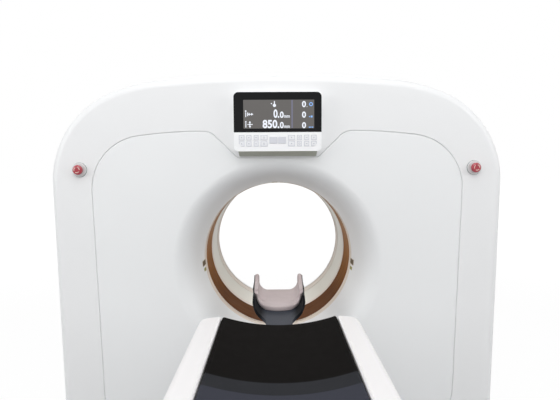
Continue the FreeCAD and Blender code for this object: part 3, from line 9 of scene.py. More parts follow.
import bpy
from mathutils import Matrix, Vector

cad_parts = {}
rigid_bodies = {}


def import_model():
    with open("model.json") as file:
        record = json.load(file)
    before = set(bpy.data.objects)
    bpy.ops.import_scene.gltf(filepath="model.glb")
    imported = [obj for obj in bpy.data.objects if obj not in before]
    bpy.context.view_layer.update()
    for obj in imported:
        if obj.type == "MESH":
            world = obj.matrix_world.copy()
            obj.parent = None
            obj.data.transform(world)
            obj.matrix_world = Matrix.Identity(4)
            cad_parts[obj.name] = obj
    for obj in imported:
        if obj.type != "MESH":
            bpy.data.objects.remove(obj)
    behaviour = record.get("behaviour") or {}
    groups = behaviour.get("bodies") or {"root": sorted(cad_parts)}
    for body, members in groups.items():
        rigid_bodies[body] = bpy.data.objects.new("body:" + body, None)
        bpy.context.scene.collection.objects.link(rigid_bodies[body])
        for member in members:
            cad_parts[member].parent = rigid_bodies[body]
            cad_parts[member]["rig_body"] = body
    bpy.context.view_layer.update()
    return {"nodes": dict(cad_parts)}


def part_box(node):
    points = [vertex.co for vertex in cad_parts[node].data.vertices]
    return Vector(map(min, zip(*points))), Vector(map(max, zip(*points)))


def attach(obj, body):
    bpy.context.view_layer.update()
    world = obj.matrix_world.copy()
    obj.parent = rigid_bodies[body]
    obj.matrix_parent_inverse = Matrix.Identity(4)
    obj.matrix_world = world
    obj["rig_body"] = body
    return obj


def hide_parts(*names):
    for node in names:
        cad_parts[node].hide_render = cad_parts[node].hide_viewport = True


bl_info = {
    "name": "CT scanner",
    "version": (1, 0, 0),
    "blender": (4, 5, 0),
    "location": "View3D > Sidebar > CT scanner",
    "description": "Dresses the frame of a CT scanner with its covers, bore, display and table",
    "category": "Add Mesh",
}

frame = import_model()
NODES = frame["nodes"]

FRONT_LOW, FRONT_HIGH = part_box("front_surround")
DOOR_LOW, DOOR_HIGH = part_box("side_cover_right")
LID_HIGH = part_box("top_cover")[1]
FRONT_Y, COVER_LOW_Z = FRONT_LOW.yz
COVER_HALF_WIDTH, COVER_JOINT_Y, COVER_TOP_Z = FRONT_HIGH
COVER_REAR_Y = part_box("rear_cover")[1].y
REAR_COVER_Y = LID_HIGH.y + (DOOR_LOW.y - COVER_JOINT_Y)
AXIS_Z = 1.0
BORE_FRONT_Y, WINDOW_REAR_Y = (corner.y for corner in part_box("scan_window"))
BORE_REAR_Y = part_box("rear_bore_liner")[1].y
MAT_FOOT_Y, MAT_END_Y = (corner.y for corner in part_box("cushion"))
FACING = (math.pi / 2, 0, 0)
WHITE = (1, 1, 1, 1)
MICRON = 1e-6
MILLIMETRE = 1e-3
TOUCH = 1e-5        # how close a vertex lies to the place it is picked by
WELD = 2e-5         # how close the corners of a solid's triangles lie
FLAT_TURN = 0.6     # degrees between triangles that make up one flat face
CUT_LIMIT = 50      # degrees past which a cover's edge counts as cut
SOLID_TURN = 32     # degrees up to which a solid's faces are shaded as one
MARK = 0.0003       # depth of a flat mark
MARK_GAP = 0.0002   # gap between a flat mark and what it lies on
DRAW_STEPS = 32     # steps of the cage that draws the head holder in
DRAW_CUTS = 8       # cuts on each side of the place where it is drawn in the most
FOAM_TURN = math.radians(22.5)


# ---------------------------------------------------------------- sizes and colours
def length(name, default, description):
    return bpy.props.FloatProperty(name=name, default=default, min=0, unit="LENGTH",
                                   description=description)


def position(name, default, description):
    return bpy.props.FloatProperty(name=name, default=default, unit="LENGTH",
                                   description=description)


def angle(name, degrees, description):
    return bpy.props.FloatProperty(name=name, default=math.radians(degrees), unit="ROTATION",
                                   description=description)


def share(name, default, description):
    return bpy.props.FloatProperty(name=name, default=default, min=0, max=1, subtype="FACTOR",
                                   description=description)


def count(name, default, description):
    return bpy.props.IntProperty(name=name, default=default, min=1, description=description)


def colour(name, red, green, blue, description):
    return bpy.props.FloatVectorProperty(name=name, default=(red, green, blue, 1.0), size=4,
                                         min=0, max=1, subtype="COLOR", description=description)


class ScannerCoverSizes(bpy.types.PropertyGroup):
    crown_turn: angle("Crown turn", 5.2, "Turn of the long arc over the top")
    shoulder_radius: length("Shoulder radius", 0.800, "Radius beside the crown")
    shoulder_turn: angle("Shoulder turn", 14.3, "Turn of each shoulder")
    corner_radius: length("Corner radius", 0.423, "Radius of the top corners")
    side_taper: angle("Side taper", 0.63, "Lean of the sides")
    rim_radius: length("Rim radius", 0.038, "Rounding between face and sides")
    wall: length("Wall", 0.005, "Thickness of the covers")
    edge_round: length("Edge rounding", 0.0012, "Rounding of the cut edges")
    seam: length("Seam", 0.003, "Width of the seam round the panel")
    seam_round: length("Seam rounding", 0.0028, "Rounding of the seam's edges")
    ledge: length("Ledge", 0.002, "Thickness of the ledge behind the seam")


class ScannerPanelSizes(bpy.types.PropertyGroup):
    half_width: length("Half width", 0.797, "Half the panel's width")
    top_z: length("Top", 1.578, "Highest point of the seam")
    top_turn: angle("Top turn", 7.5, "Turn of the seam's long top arcs")
    corner_radius: length("Corner radius", 0.235, "Radius of the upper corners")
    side_taper: angle("Side taper", 1.2, "Lean of the seam's sides")
    foot_radius: length("Foot radius", 0.230, "Radius of the lower corners")
    bottom_z: length("Bottom", 0.200, "Lowest point of the seam")
    notch_z: length("Notch", 1.466, "Height of the dip under the display")
    notch_half_width: length("Notch half width", 0.160, "Half the width of the dip's floor")
    notch_slope: angle("Notch slope", 44.0, "Slope of the dip's sides")
    notch_foot: length("Notch foot", 0.027, "Radius at the dip's floor")
    notch_shoulder: length("Notch shoulder", 0.075, "Radius at the dip's top")


class ScannerBoreSizes(bpy.types.PropertyGroup):
    radius: length("Bore radius", 0.350, "Inner radius of the bore")
    flare_width: length("Flare width", 0.108, "How far the funnel opens beyond the bore")
    flare_depth: length("Flare depth", 0.190, "How deep it rolls in from the face")
    flare_rings: count("Flare rings", 18, "Rings that make up the roll")
    arc_steps: count("Arc steps", 64, "Steps in half a turn round the bore")
    step: length("Step", 0.002, "The funnel ends this far outside the bore's wall")
    rear_width: length("Rear width", 0.170, "How far the rear mouth opens beyond the bore")
    rear_throat: length("Rear throat", 0.035, "Straight length in front of the rear mouth")
    rear_edge: length("Rear edge", 0.022, "Rounding of the rear mouth's edge")
    window_wall: length("Window wall", 0.003, "Thickness of the scan window")
    liner_wall: length("Liner wall", 0.004, "Thickness of the tube behind it")
    round_steps: count("Round steps", 160, "Steps in a full turn round the bore")
    band: length("Band", 0.0011, "Thickness of the cream bands in the bore")
    slot_y: position("Slot place", -0.196, "Where the laser slots lie along the bore")
    slot_length: length("Slot length", 0.058, "Length of a laser slot along the bore")
    slot_width: length("Slot width", 0.026, "Width of a laser slot round the bore")
    lamp_length: length("Lamp length", 0.036, "Length of the lamp window beside it")
    lamp_width: length("Lamp width", 0.014, "Width of that lamp window")
    slot_frame: length("Slot frame", 0.0028, "Width of the frame round a laser slot")
    slot_corner: length("Slot corner", 0.005, "Corner radius of that frame")


class ScannerTableSizes(bpy.types.PropertyGroup):
    mat_half_width: length("Mat half width", 0.2116, "Half the mat's width")
    mat_radius: length("Mat radius", 0.6595, "Radius of the dished top")
    mat_centre_z: length("Mat centre", 0.850, "Height of the mat's middle line")
    mat_thickness: length("Mat thickness", 0.022, "Thickness of the mat")
    mat_edge: length("Mat edge", 0.007, "Rounding of the mat's edges")
    mat_cuts: count("Mat cuts", 60, "Cuts along the mat that let its foam swell")
    mat_softness: length("Mat softness", 0.0012, "How uneven the mat's foam is")


class ScannerDisplaySizes(bpy.types.PropertyGroup):
    lower_corner: length("Lower corner", 0.018, "Rounding of the housing's lower corners")
    lip: length("Lip", 0.020, "Height of the strip under the housing's lip")
    edge_round: length("Edge rounding", 0.0025, "Rounding of the housing's edges")
    key_border: length("Key border", 0.0030, "Border round the pale inlay of a key")
    key_mark: length("Key mark", 0.0040, "Half width of the mark on a key")


class ScannerHolderSizes(bpy.types.PropertyGroup):
    rim_z: length("Rim", 0.878, "Height of the shell's level rim")
    wall_middle: length("Wall middle", 0.112, "Half width to the middle of the shell's wall")
    step_foot: length("Step foot", 0.0006, "Height over the rim where the ears step in")
    step_top: length("Step top", 0.003, "Height over the rim where that step ends")
    drop_start: length("Drop start", 0.020, "Height over the rim from which they drop")
    ear_step: length("Ear step", 0.0035, "How far the ears' plates are set in from the rim")
    ear_wall: length("Ear wall", 0.003, "Thickness of the ears' plates")
    ear_drop: length("Ear drop", 0.005, "How far the plates stay below the pad's tips")
    draw_y: position("Draw place", -0.425, "Where the cup is drawn in the most")
    draw_reach: length("Draw reach", 0.130, "How far along the cup the drawing in runs")
    shell_share: share("Shell share", 0.925, "Share of the shell's width left there")
    pad_share: share("Pad share", 0.965, "Share of the pad's width left there")
    pad_reach: length("Pad reach", 0.005, "How far the pad swells towards the neck")
    near_face: length("Near face", 0.045, "Length of the pad's end that swells so")
    pad_step: length("Pad step", 0.004, "Height over the rim where the pad widens")
    ear_gap: length("Ear gap", 0.0002, "Gap between the ears' plates and their foam")
    ear_foam: length("Ear foam", 0.0188, "Thickness of the ears' foam")
    corner_radius: length("Corner radius", 0.045, "Hollow between the pad's floor and wall")
    corner_foam: length("Corner foam", 0.016, "Thickness of the foam added there")
    corner_x: length("Corner place", 0.0462, "Half width to the middle of that hollow")
    corner_z: length("Corner height", 0.8844, "Height of the middle of that hollow")
    corner_near_y: position("Corner near end", -0.380, "Where that foam starts")
    corner_far_y: position("Corner far end", -0.203, "Where that foam ends")
    pad_grid: length("Pad grid", 0.003, "Grid on which the foam is shaped")
    pad_rounding: count("Pad rounding", 6, "Rounds of easing of the foam's corners")
    pad_swell: length("Pad swell", 0.0009, "How far the foam swells back after that")


class ScannerStopSizes(bpy.types.PropertyGroup):
    arrow_inner: length("Arrow inside", 0.0098, "Inner radius of the arrows on the cap")
    arrow_outer: length("Arrow outside", 0.0126, "Outer radius of those arrows")
    arrow_turn: angle("Arrow turn", 72.0, "How far each arrow runs round the cap")
    ring_radius: length("Ring radius", 0.0303, "Radius of the seal round the ring")
    gasket: length("Gasket", 0.0011, "Thickness of that seal")


class ScannerColours(bpy.types.PropertyGroup):
    cover: colour("Covers", 0.850, 0.855, 0.860, "Moulded outer covers")
    panel: colour("Front panel", 0.860, 0.870, 0.875, "Inner front panel and funnel")
    table: colour("Table", 0.900, 0.880, 0.878, "Table body and plinth")
    window: colour("Scan window", 0.440, 0.198, 0.072, "Film over the scan window")
    liner: colour("Liner", 0.750, 0.725, 0.635, "White tube behind the scan window")
    trim: colour("Trim", 0.760, 0.670, 0.580, "Cream trim rings of the bore")
    mat: colour("Mat", 0.0100, 0.0092, 0.0088, "Vinyl of the mat")
    pad: colour("Head pad", 0.520, 0.440, 0.440, "Foam of the head pad")
    carbon: colour("Carbon", 0.011, 0.012, 0.015, "Carbon of cradle and head holder")
    stop: colour("Stop button", 0.380, 0.018, 0.036, "Caps of the stop buttons")
    glass: colour("Glass", 0.008, 0.008, 0.009, "Black glass round the read-out")
    screen: colour("Screen", 0.110, 0.103, 0.098, "Lit field of the read-out")
    digits: colour("Digits", 0.880, 0.920, 1.000, "Figures of the read-out")
    keys: colour("Keys", 0.700, 0.710, 0.760, "Keys under the display")


# ---------------------------------------------------------------- finishes
class Shading:
    """A node tree and what is wired into it."""

    def __init__(self, tree):
        self.tree = tree

    def feed(self, socket, value):
        """Link a socket from another one, or set it to a value."""
        if isinstance(value, bpy.types.NodeSocket):
            self.tree.links.new(value, socket)
        else:
            socket.default_value = value

    def node(self, kind, *sources, **settings):
        """Add a node: sources feed its first sockets, settings its named sockets or options."""
        made = self.tree.nodes.new("ShaderNode" + kind)
        for socket, source in zip(made.inputs, sources):
            self.feed(socket, source)
        for setting, value in settings.items():
            socket = made.inputs.get(setting.replace("_", " "))
            if socket is None:
                setattr(made, setting, value)
            else:
                self.feed(socket, value)
        return made

    def spread(self, source, low, high, start=0.3, end=0.7):
        """A value that runs from low to high as the source goes from start to end."""
        return self.node("MapRange", source, From_Min=start, From_Max=end, To_Min=low,
                         To_Max=high).outputs["Result"]

    def seen_directly(self):
        """One where a ray comes from the camera, a gloss or a glass, and zero for the light."""
        rays = self.node("LightPath").outputs
        found = rays["Is Camera Ray"]
        for kind in ("Is Glossy Ray", "Is Transmission Ray"):
            found = self.node("Math", found, rays[kind], operation="MAXIMUM").outputs[0]
        return found

    def seen_white(self, output, shade, white, portion):
        """Let a portion of what is seen be white, and leave the rest to the shade."""
        mix = self.node("MixShader", portion, shade.outputs[0], white.outputs[0])
        self.feed(self.tree.nodes[output].inputs["Surface"], mix.outputs[0])


class Finish(Shading):
    """A node material: one principled shader and what feeds it."""

    def __init__(self, name, base, roughness, **sockets):
        self.material = bpy.data.materials.new(name)
        self.material.use_nodes = True
        super().__init__(self.material.node_tree)
        self.shader = self.tree.nodes["Principled BSDF"]
        self.base = (*base[:3], 1.0)
        self.roughness = roughness
        for socket, value in dict(sockets, Base_Color=self.base, Roughness=roughness).items():
            self.set(socket.replace("_", " "), value)
        self.place = self.node("TexCoord").outputs["Object"]
        self.tone = self.base[:3]
        self.height = None

    def set(self, socket, value):
        self.feed(self.shader.inputs[socket], value)

    def noise(self, scale, detail=3.0, stretch=(1, 1, 1)):
        mapping = self.node("Mapping", self.place, Scale=stretch)
        return self.node("TexNoise", mapping.outputs[0], Scale=scale,
                         Detail=detail).outputs["Fac"]

    def wave(self, scale, distortion, direction):
        return self.node("TexWave", self.place, Scale=scale, Distortion=distortion,
                         bands_direction=direction).outputs["Fac"]

    def tint(self, source, dark):
        """Vary the colour between dark times itself and itself."""
        scaled = self.node("VectorMath", self.tone, operation="SCALE",
                           Scale=self.spread(source, dark, 1.0))
        self.set("Base Color", scaled.outputs["Vector"])

    def run(self, axis, *stops):
        """Run the colour through stops, each a place along the axis with its colour."""
        first, last = stops[0][0], stops[-1][0]
        parts = self.node("SeparateXYZ", self.place)
        ramp = self.node("ValToRGB", self.spread(parts.outputs[axis], 0.0, 1.0, first, last))
        shades = ramp.color_ramp.elements
        shades[0].color, shades[1].color = (*stops[0][1][:3], 1.0), (*stops[-1][1][:3], 1.0)
        for where, shade in stops[1:-1]:
            shades.new((where - first) / (last - first)).color = (*shade[:3], 1.0)
        self.tone = ramp.outputs["Color"]
        self.set("Base Color", self.tone)

    def wear(self, source, amount):
        """Vary the roughness about its value."""
        self.set("Roughness", self.spread(source, self.roughness - amount,
                                          self.roughness + amount))

    def grain(self, source, strength, distance):
        """Lay a fine relief over what is there."""
        bump = self.node("Bump", Height=source, Strength=strength, Distance=distance)
        if self.height:
            self.feed(bump.inputs["Normal"], self.height)
        self.height = bump.outputs["Normal"]
        self.set("Normal", self.height)


def moulded(name, base, roughness, texture=0.08):
    """Painted moulding: a faint orange peel and a slow change of tone."""
    finish = Finish(name, base, roughness)
    finish.tint(finish.noise(1.3, 2.0), 0.985)
    finish.wear(finish.noise(9.0), 0.03)
    finish.grain(finish.noise(420.0, 2.0), texture, 0.0004)


def metal(name, base, roughness):
    finish = Finish(name, base, roughness, Metallic=1.0)
    finish.tint(finish.noise(14.0, 4.0), 0.85)
    finish.wear(finish.noise(60.0), 0.08)


def coated(name, base, roughness):
    """Powder-coated steel."""
    finish = Finish(name, base, roughness)
    finish.tint(finish.noise(6.0), 0.9)
    finish.grain(finish.noise(900.0, 2.0), 0.15, 0.0004)


def carbon_weave(name, base, middle=None):
    """Carbon under clear lacquer: two crossed waves make the twill. Its middle may carry a
    painted sheen that makes it paler.
    """
    finish = Finish(name, base, 0.5, Specular_IOR_Level=0.03)
    if middle:
        # painted sheen: a paler strip down the middle stands for the lacquer's reflection
        half, edge = 0.050, 0.075
        finish.run("X", (-edge, base), (-half, middle), (half, middle), (edge, base))
    warp, weft = (finish.wave(160.0, 0.0, direction) for direction in "XY")
    weave = finish.node("Math", warp, weft, operation="MULTIPLY").outputs["Value"]
    finish.tint(weave, 0.55)
    finish.grain(weave, 0.06, 0.0003)


def lit(name, base):
    """A field or figure of the read-out that gives its own light."""
    finish = Finish(name, (0.0, 0.0, 0.0), 0.3, Emission_Color=(*base[:3], 1.0),
                    Emission_Strength=1.0)
    finish.wear(finish.noise(40.0, 2.0), 0.02)


def window_film(base):
    """Brown film drawn round the bore, with painted shade darkening it towards its foot and a
    painted highlight lightening it towards its top, streaked along its run.
    """
    finish = Finish("window_film", base, 0.6, Specular_IOR_Level=0.02)
    # painted light and shade: the film's tone runs from dark at its foot to light above the
    # axis
    finish.run("Z", (0.78, (0.165, 0.064, 0.021)), (0.90, (0.290, 0.115, 0.028)), (1.00, base),
               (1.12, (0.560, 0.310, 0.160)))
    finish.tint(finish.noise(5.0, 4.0, (1.0, 14.0, 1.0)), 0.72)
    finish.wear(finish.noise(20.0), 0.06)


def mat_vinyl(base):
    """Black vinyl with a painted reflection: its foot part is painted greyer, in two clear
    steps along the table.
    """
    finish = Finish("mat_vinyl", base, 0.75, Specular_IOR_Level=0.01)
    # painted reflection: the foot end greyest, then a dimmer step, then the plain black vinyl
    dim_reflection, foot = (0.032, 0.033, 0.037), (0.050, 0.052, 0.066)
    bright_reflection_y, dim_reflection_y, soft = -1.167, -1.105, 0.002
    finish.run("Y", (bright_reflection_y - soft, foot), (bright_reflection_y + soft, dim_reflection),
               (dim_reflection_y - soft, dim_reflection), (dim_reflection_y + soft, base))
    finish.wear(finish.noise(30.0), 0.05)
    finish.grain(finish.wave(42.0, 0.4, "Y"), 0.10, 0.0006)
    finish.grain(finish.noise(900.0), 0.18, 0.0005)


def pad_foam(base):
    finish = Finish("pad_foam", base, 0.72, Sheen_Weight=0.25)
    finish.tint(finish.noise(24.0, 4.0), 0.93)
    finish.grain(finish.noise(1400.0), 0.25, 0.0005)


def glossy(name, base, roughness, **sockets):
    finish = Finish(name, base, roughness, **sockets)
    finish.wear(finish.noise(25.0), roughness / 4)


SOLIDS_OF_FINISH = {
    "frame_coat": "base_frame stator_frame table_base_frame carriage_frame lift_arm_front "
                  "lift_arm_rear",
    "steel": "bearing_outer_ring motor_pulley cradle_rails estop_stem_left estop_stem_right",
    "alloy": "rotor_drum hv_generator tube_cooler",
    "motor_coat": "drive_motor lift_gearmotor",
    "belt_rubber": "drive_belt",
    "brush_plastic": "brush_block",
    "copper": "slip_ring",
    "tube_coat": "x_ray_tube",
    "lead_coat": "collimator detector_array",
    "window_glass": "laser_windows",
    "cover_paint": "side_cover_left side_cover_right top_cover rear_cover front_surround",
    "panel_paint": "front_panel",
    "housing_gloss": "display_housing",
    "black_glass": "display_glass",
    "ring_grey": "estop_rings",
    "window_film": "scan_window",
    "liner_paint": "rear_bore_liner",
    "table_paint": "table_base_cover table_body_cover",
    "carbon": "cradle",
    "carbon_holder_sheen": "head_holder",
    "mat_vinyl": "cushion",
    "pad_foam": "head_pad",
    "stop_red": "estop_cap_left estop_cap_right",
}
FINISH_OF_NODE = dict.fromkeys(NODES, "key_plastic") | {
    node: finish for finish, nodes in SOLIDS_OF_FINISH.items() for node in nodes.split()}


def make_finishes(tones):
    moulded("cover_paint", tones.cover, 0.42)
    moulded("panel_paint", tones.panel, 0.45)
    moulded("table_paint", tones.table, 0.40)
    moulded("liner_paint", tones.liner, 0.34)
    moulded("trim_cream", tones.trim, 0.40, 0.02)
    moulded("housing_gloss", (0.965, 0.97, 0.98), 0.28, 0.03)
    # painted shade for the housing's downward-facing underside
    moulded("housing_foot", (0.45, 0.46, 0.39), 0.5, 0.03)
    moulded("key_plastic", tones.keys, 0.45, 0.05)
    moulded("key_inlay", (0.87, 0.88, 0.90), 0.5, 0.02)
    moulded("key_mark", (0.56, 0.57, 0.62), 0.5, 0.02)
    moulded("ring_grey", (0.72, 0.73, 0.73), 0.35, 0.05)
    moulded("gasket_grey", (0.20, 0.22, 0.21), 0.6, 0.02)
    moulded("brush_plastic", (0.35, 0.27, 0.16), 0.6)
    metal("steel", (0.55, 0.56, 0.58), 0.32)
    metal("alloy", (0.62, 0.63, 0.65), 0.42)
    metal("copper", (0.63, 0.34, 0.20), 0.3)
    coated("frame_coat", (0.17, 0.18, 0.20), 0.5)
    coated("motor_coat", (0.018, 0.018, 0.02), 0.45)
    coated("tube_coat", (0.66, 0.66, 0.66), 0.45)
    coated("lead_coat", (0.11, 0.115, 0.12), 0.55)
    glossy("belt_rubber", (0.012, 0.012, 0.012), 0.7)
    glossy("window_glass", (0.195, 0.158, 0.112), 0.6, Specular_IOR_Level=0.0)
    glossy("laser_green", (0.34, 0.34, 0.12), 0.6, Specular_IOR_Level=0.0)
    glossy("black_glass", tones.glass, 0.12, Specular_IOR_Level=0.14)
    glossy("stop_red", tones.stop, 0.22, Coat_Weight=0.6)
    glossy("stop_mark", (0.80, 0.62, 0.55), 0.5)
    lit("screen_glow", tones.screen)
    lit("digit_glow", tones.digits)
    lit("unit_glow", (0.25, 0.50, 1.0))
    lit("line_glow", (0.16, 0.16, 0.23))
    carbon_weave("carbon", tones.carbon)
    # the head holder's carbon, with a painted sheen down its neck
    carbon_weave("carbon_holder_sheen", tones.carbon, (0.086, 0.094, 0.116))
    window_film(tones.window)
    mat_vinyl(tones.mat)
    pad_foam(tones.pad)


def paint(obj, *finishes):
    obj.data.materials.clear()
    for finish in finishes:
        obj.data.materials.append(bpy.data.materials[finish])


# ---------------------------------------------------------------- hands
def only(obj):
    """Select one object and nothing else."""
    bpy.ops.object.select_all(action="DESELECT")
    obj.select_set(True)
    bpy.context.view_layer.objects.active = obj


def settle(obj):
    """Put the object's place into its mesh."""
    only(obj)
    bpy.ops.object.transform_apply(location=True, rotation=True, scale=True)


def primitive(kind, name, scale=(1, 1, 1), **settings):
    """Add a primitive, scaled and with its place in its mesh."""
    bpy.ops.object.select_all(action="DESELECT")
    getattr(bpy.ops.mesh, f"primitive_{kind}_add")(**settings)
    obj = bpy.context.object
    obj.name = obj.data.name = name
    obj.scale = scale
    settle(obj)
    return obj


def everything():
    """In edit mode, select the whole mesh."""
    bpy.ops.mesh.select_all(action="SELECT")


def edit(obj):
    """Go into edit mode with the whole mesh selected."""
    only(obj)
    bpy.ops.object.mode_set(mode="EDIT")
    everything()


def done():
    bpy.ops.object.mode_set(mode="OBJECT")


def pick(obj, kind, test):
    """In edit mode, select just the vertices that pass the test, or the edges between them."""
    bpy.ops.mesh.select_mode(type=kind)
    bpy.ops.mesh.select_all(action="DESELECT")
    done()
    vertices = obj.data.vertices
    if kind == "VERT":
        for vertex in vertices:
            vertex.select = test(vertex)
    else:
        for edge in obj.data.edges:
            edge.select = all(test(vertices[i]) for i in edge.vertices)
    bpy.ops.object.mode_set(mode="EDIT")


def in_group(obj, name):
    index = obj.vertex_groups[name].index
    return lambda v: any(part.group == index and part.weight > 0.5 for part in v.groups)


def near(x, z):
    """Test for a vertex that stands at a place in the view from the front."""
    return lambda v: abs(v.co.x - x) < TOUCH and abs(v.co.z - z) < TOUCH


def at(y):
    """Test for a vertex that lies in the plane y."""
    return lambda v: abs(v.co.y - y) < MICRON


def both(first, second):
    return lambda v: first(v) and second(v)


def extrude(x, y, z):
    bpy.ops.mesh.extrude_region_move(TRANSFORM_OT_translate={"value": (x, y, z)})


def round_over(radius, segments):
    """In edit mode, round the selected edges."""
    bpy.ops.mesh.bevel(offset=radius, segments=segments, profile=0.5, affect="EDGES")


def round_corners(radius, segments):
    """In edit mode, round the corners of the selected flat faces."""
    bpy.ops.mesh.bevel(offset=radius, segments=segments, affect="VERTICES")


def fill():
    """In edit mode, fill the outline with a face."""
    everything()
    bpy.ops.mesh.edge_face_add()


def link_up(obj, first_z, second_z):
    """In edit mode, draw an edge down the middle line between two vertices."""
    first, second = near(0, first_z), near(0, second_z)
    pick(obj, "VERT", lambda v: first(v) or second(v))
    bpy.ops.mesh.edge_face_add()


def draw_rings(rings):
    """In edit mode, draw the selected ring on through rings, each a radius and a place."""
    for (radius, y), (next_radius, next_y) in zip(rings, rings[1:]):
        extrude(0, next_y - y, 0)
        scale = next_radius / radius
        bpy.ops.transform.resize(value=(scale, 1, scale), center_override=(0, next_y, AXIS_Z))


def cut_across(obj, normal, places):
    """Cut a mesh across at each place, so that it can bend there."""
    edit(obj)
    for place in places:
        everything()
        bpy.ops.mesh.bisect(plane_co=place, plane_no=normal)
    done()


def apply(obj, kind, **settings):
    """Give the object a modifier and apply it."""
    only(obj)
    modifier = obj.modifiers.new(kind.title(), kind)
    for setting, value in settings.items():
        setattr(modifier, setting, value)
    bpy.ops.object.modifier_apply(modifier=modifier.name)


def mirror(obj):
    apply(obj, "MIRROR", use_axis=(True, False, False), use_clip=True)


def ease(obj, width, segments=2, limit=35.0):
    """Round over the edges that turn by more than the limit."""
    apply(obj, "BEVEL", width=width, segments=segments, limit_method="ANGLE",
          angle_limit=math.radians(limit), use_clamp_overlap=True)


def outwards(obj):
    """Merge what lies on one spot and turn every face outwards."""
    edit(obj)
    bpy.ops.mesh.remove_doubles(threshold=MICRON)
    bpy.ops.mesh.normals_make_consistent(inside=False)
    done()


def smooth(obj, degrees=30.0, weighted=True):
    only(obj)
    bpy.ops.object.shade_smooth_by_angle(angle=math.radians(degrees))
    if weighted:
        apply(obj, "WEIGHTED_NORMAL", keep_sharp=True)


def complete(obj):
    """Leave edit mode and make a whole, smooth cover of its right half."""
    done()
    mirror(obj)
    outwards(obj)
    smooth(obj)


def joined(name, first, *others):
    only(first)
    for other in others:
        other.select_set(True)
    bpy.ops.object.join()
    first.name = name
    return first


def dress(obj, node, *finishes):
    """Give a piece its finishes, and the body of the solid it goes with."""
    paint(obj, *finishes)
    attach(obj, NODES[node]["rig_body"])


def stand_in(obj, node, *more):
    """Dress a piece that stands for a solid in the solid's own finish, and more if given."""
    dress(obj, node, FINISH_OF_NODE[node], *more)
    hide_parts(node)


class Trace:
    """Draws a tangent run of lines and arcs in the plane y, always on from the last vertex."""

    def __init__(self, x, y, z, heading=0.0, name="outline"):
        self.obj = primitive("plane", name, size=0.001, location=(x, y, z))
        edit(self.obj)
        bpy.ops.mesh.select_mode(type="VERT")
        everything()
        bpy.ops.mesh.merge(type="CENTER")
        self.x = x
        self.y = y
        self.z = z
        self.heading = heading

    def _to(self, x, z):
        extrude(x - self.x, 0, z - self.z)
        self.x = x
        self.z = z

    def to_x(self, x):
        self._to(x, self.z + (x - self.x) * math.tan(self.heading))

    def to_z(self, z):
        self._to(self.x + (z - self.z) / math.tan(self.heading), z)

    def ahead(self, distance):
        self._to(self.x + distance * math.cos(self.heading),
                 self.z + distance * math.sin(self.heading))

    def arc(self, radius, turn, step=0.018):
        """Turn by an angle, to the left where it is positive."""
        side = math.copysign(1.0, turn)
        centre_x = self.x - side * radius * math.sin(self.heading)
        centre_z = self.z + side * radius * math.cos(self.heading)
        steps = max(3, round(abs(turn) * radius / step))
        bpy.ops.mesh.spin(steps=steps, angle=abs(turn), center=(centre_x, self.y, centre_z),
                          axis=(0, side, 0))
        self.heading += turn
        self.x = centre_x + side * radius * math.sin(self.heading)
        self.z = centre_z - side * radius * math.cos(self.heading)

    def end(self, group):
        done()
        obj = self.obj
        obj.vertex_groups.new(name=group).add(range(len(obj.data.vertices)), 1.0, "REPLACE")
        return obj


def trace_gantry(sizes, y):
    """Right half of the gantry's outline, from the top of the crown to the open bottom."""
    crown_end = math.sin(sizes.crown_turn)
    shoulder_end = math.sin(sizes.crown_turn + sizes.shoulder_turn)
    crown_radius = (COVER_HALF_WIDTH - sizes.corner_radius * (1 - shoulder_end)
                    - sizes.shoulder_radius * (shoulder_end - crown_end)) / crown_end
    trace = Trace(0, y, COVER_TOP_Z)
    trace.arc(crown_radius, -sizes.crown_turn)
    trace.arc(sizes.shoulder_radius, -sizes.shoulder_turn)
    corner_turn = math.pi / 2 + sizes.side_taper - sizes.crown_turn - sizes.shoulder_turn
    trace.arc(sizes.corner_radius, -corner_turn)
    trace.to_z(COVER_LOW_Z)
    return trace.end("rim")


def trace_seam(sizes, inset, y):
    """Right half of the front panel's outline, from the notch to the middle of its foot."""
    trace = Trace(0, y, sizes.notch_z - inset)
    trace.to_x(sizes.notch_half_width)
    trace.arc(sizes.notch_foot + inset, sizes.notch_slope, 0.006)
    shoulder = sizes.notch_shoulder - inset
    trace.to_z(sizes.top_z - inset - shoulder * (1 - math.cos(sizes.notch_slope)))
    trace.arc(shoulder, -sizes.notch_slope, 0.008)
    corner = math.sin(sizes.top_turn)
    corner_start = sizes.half_width - sizes.corner_radius * (1 - corner)
    trace.arc((corner_start - trace.x) / corner - inset, -sizes.top_turn)
    trace.arc(sizes.corner_radius - inset,
              -(math.pi / 2 + sizes.side_taper - sizes.top_turn), 0.012)
    foot = sizes.foot_radius - inset
    trace.to_z(sizes.bottom_z + inset + foot * (1 - math.sin(sizes.side_taper)))
    trace.arc(foot, -(math.pi / 2 - sizes.side_taper), 0.012)
    trace.heading = 0
    trace.to_x(0)
    return trace.end("seam")


def trace_mouth(radius, y, bore):
    """Right half of a round opening about the bore's axis."""
    trace = Trace(0, y, AXIS_Z + radius)
    trace.arc(radius, -math.pi, math.pi * radius / bore.arc_steps)
    return trace.end("mouth")


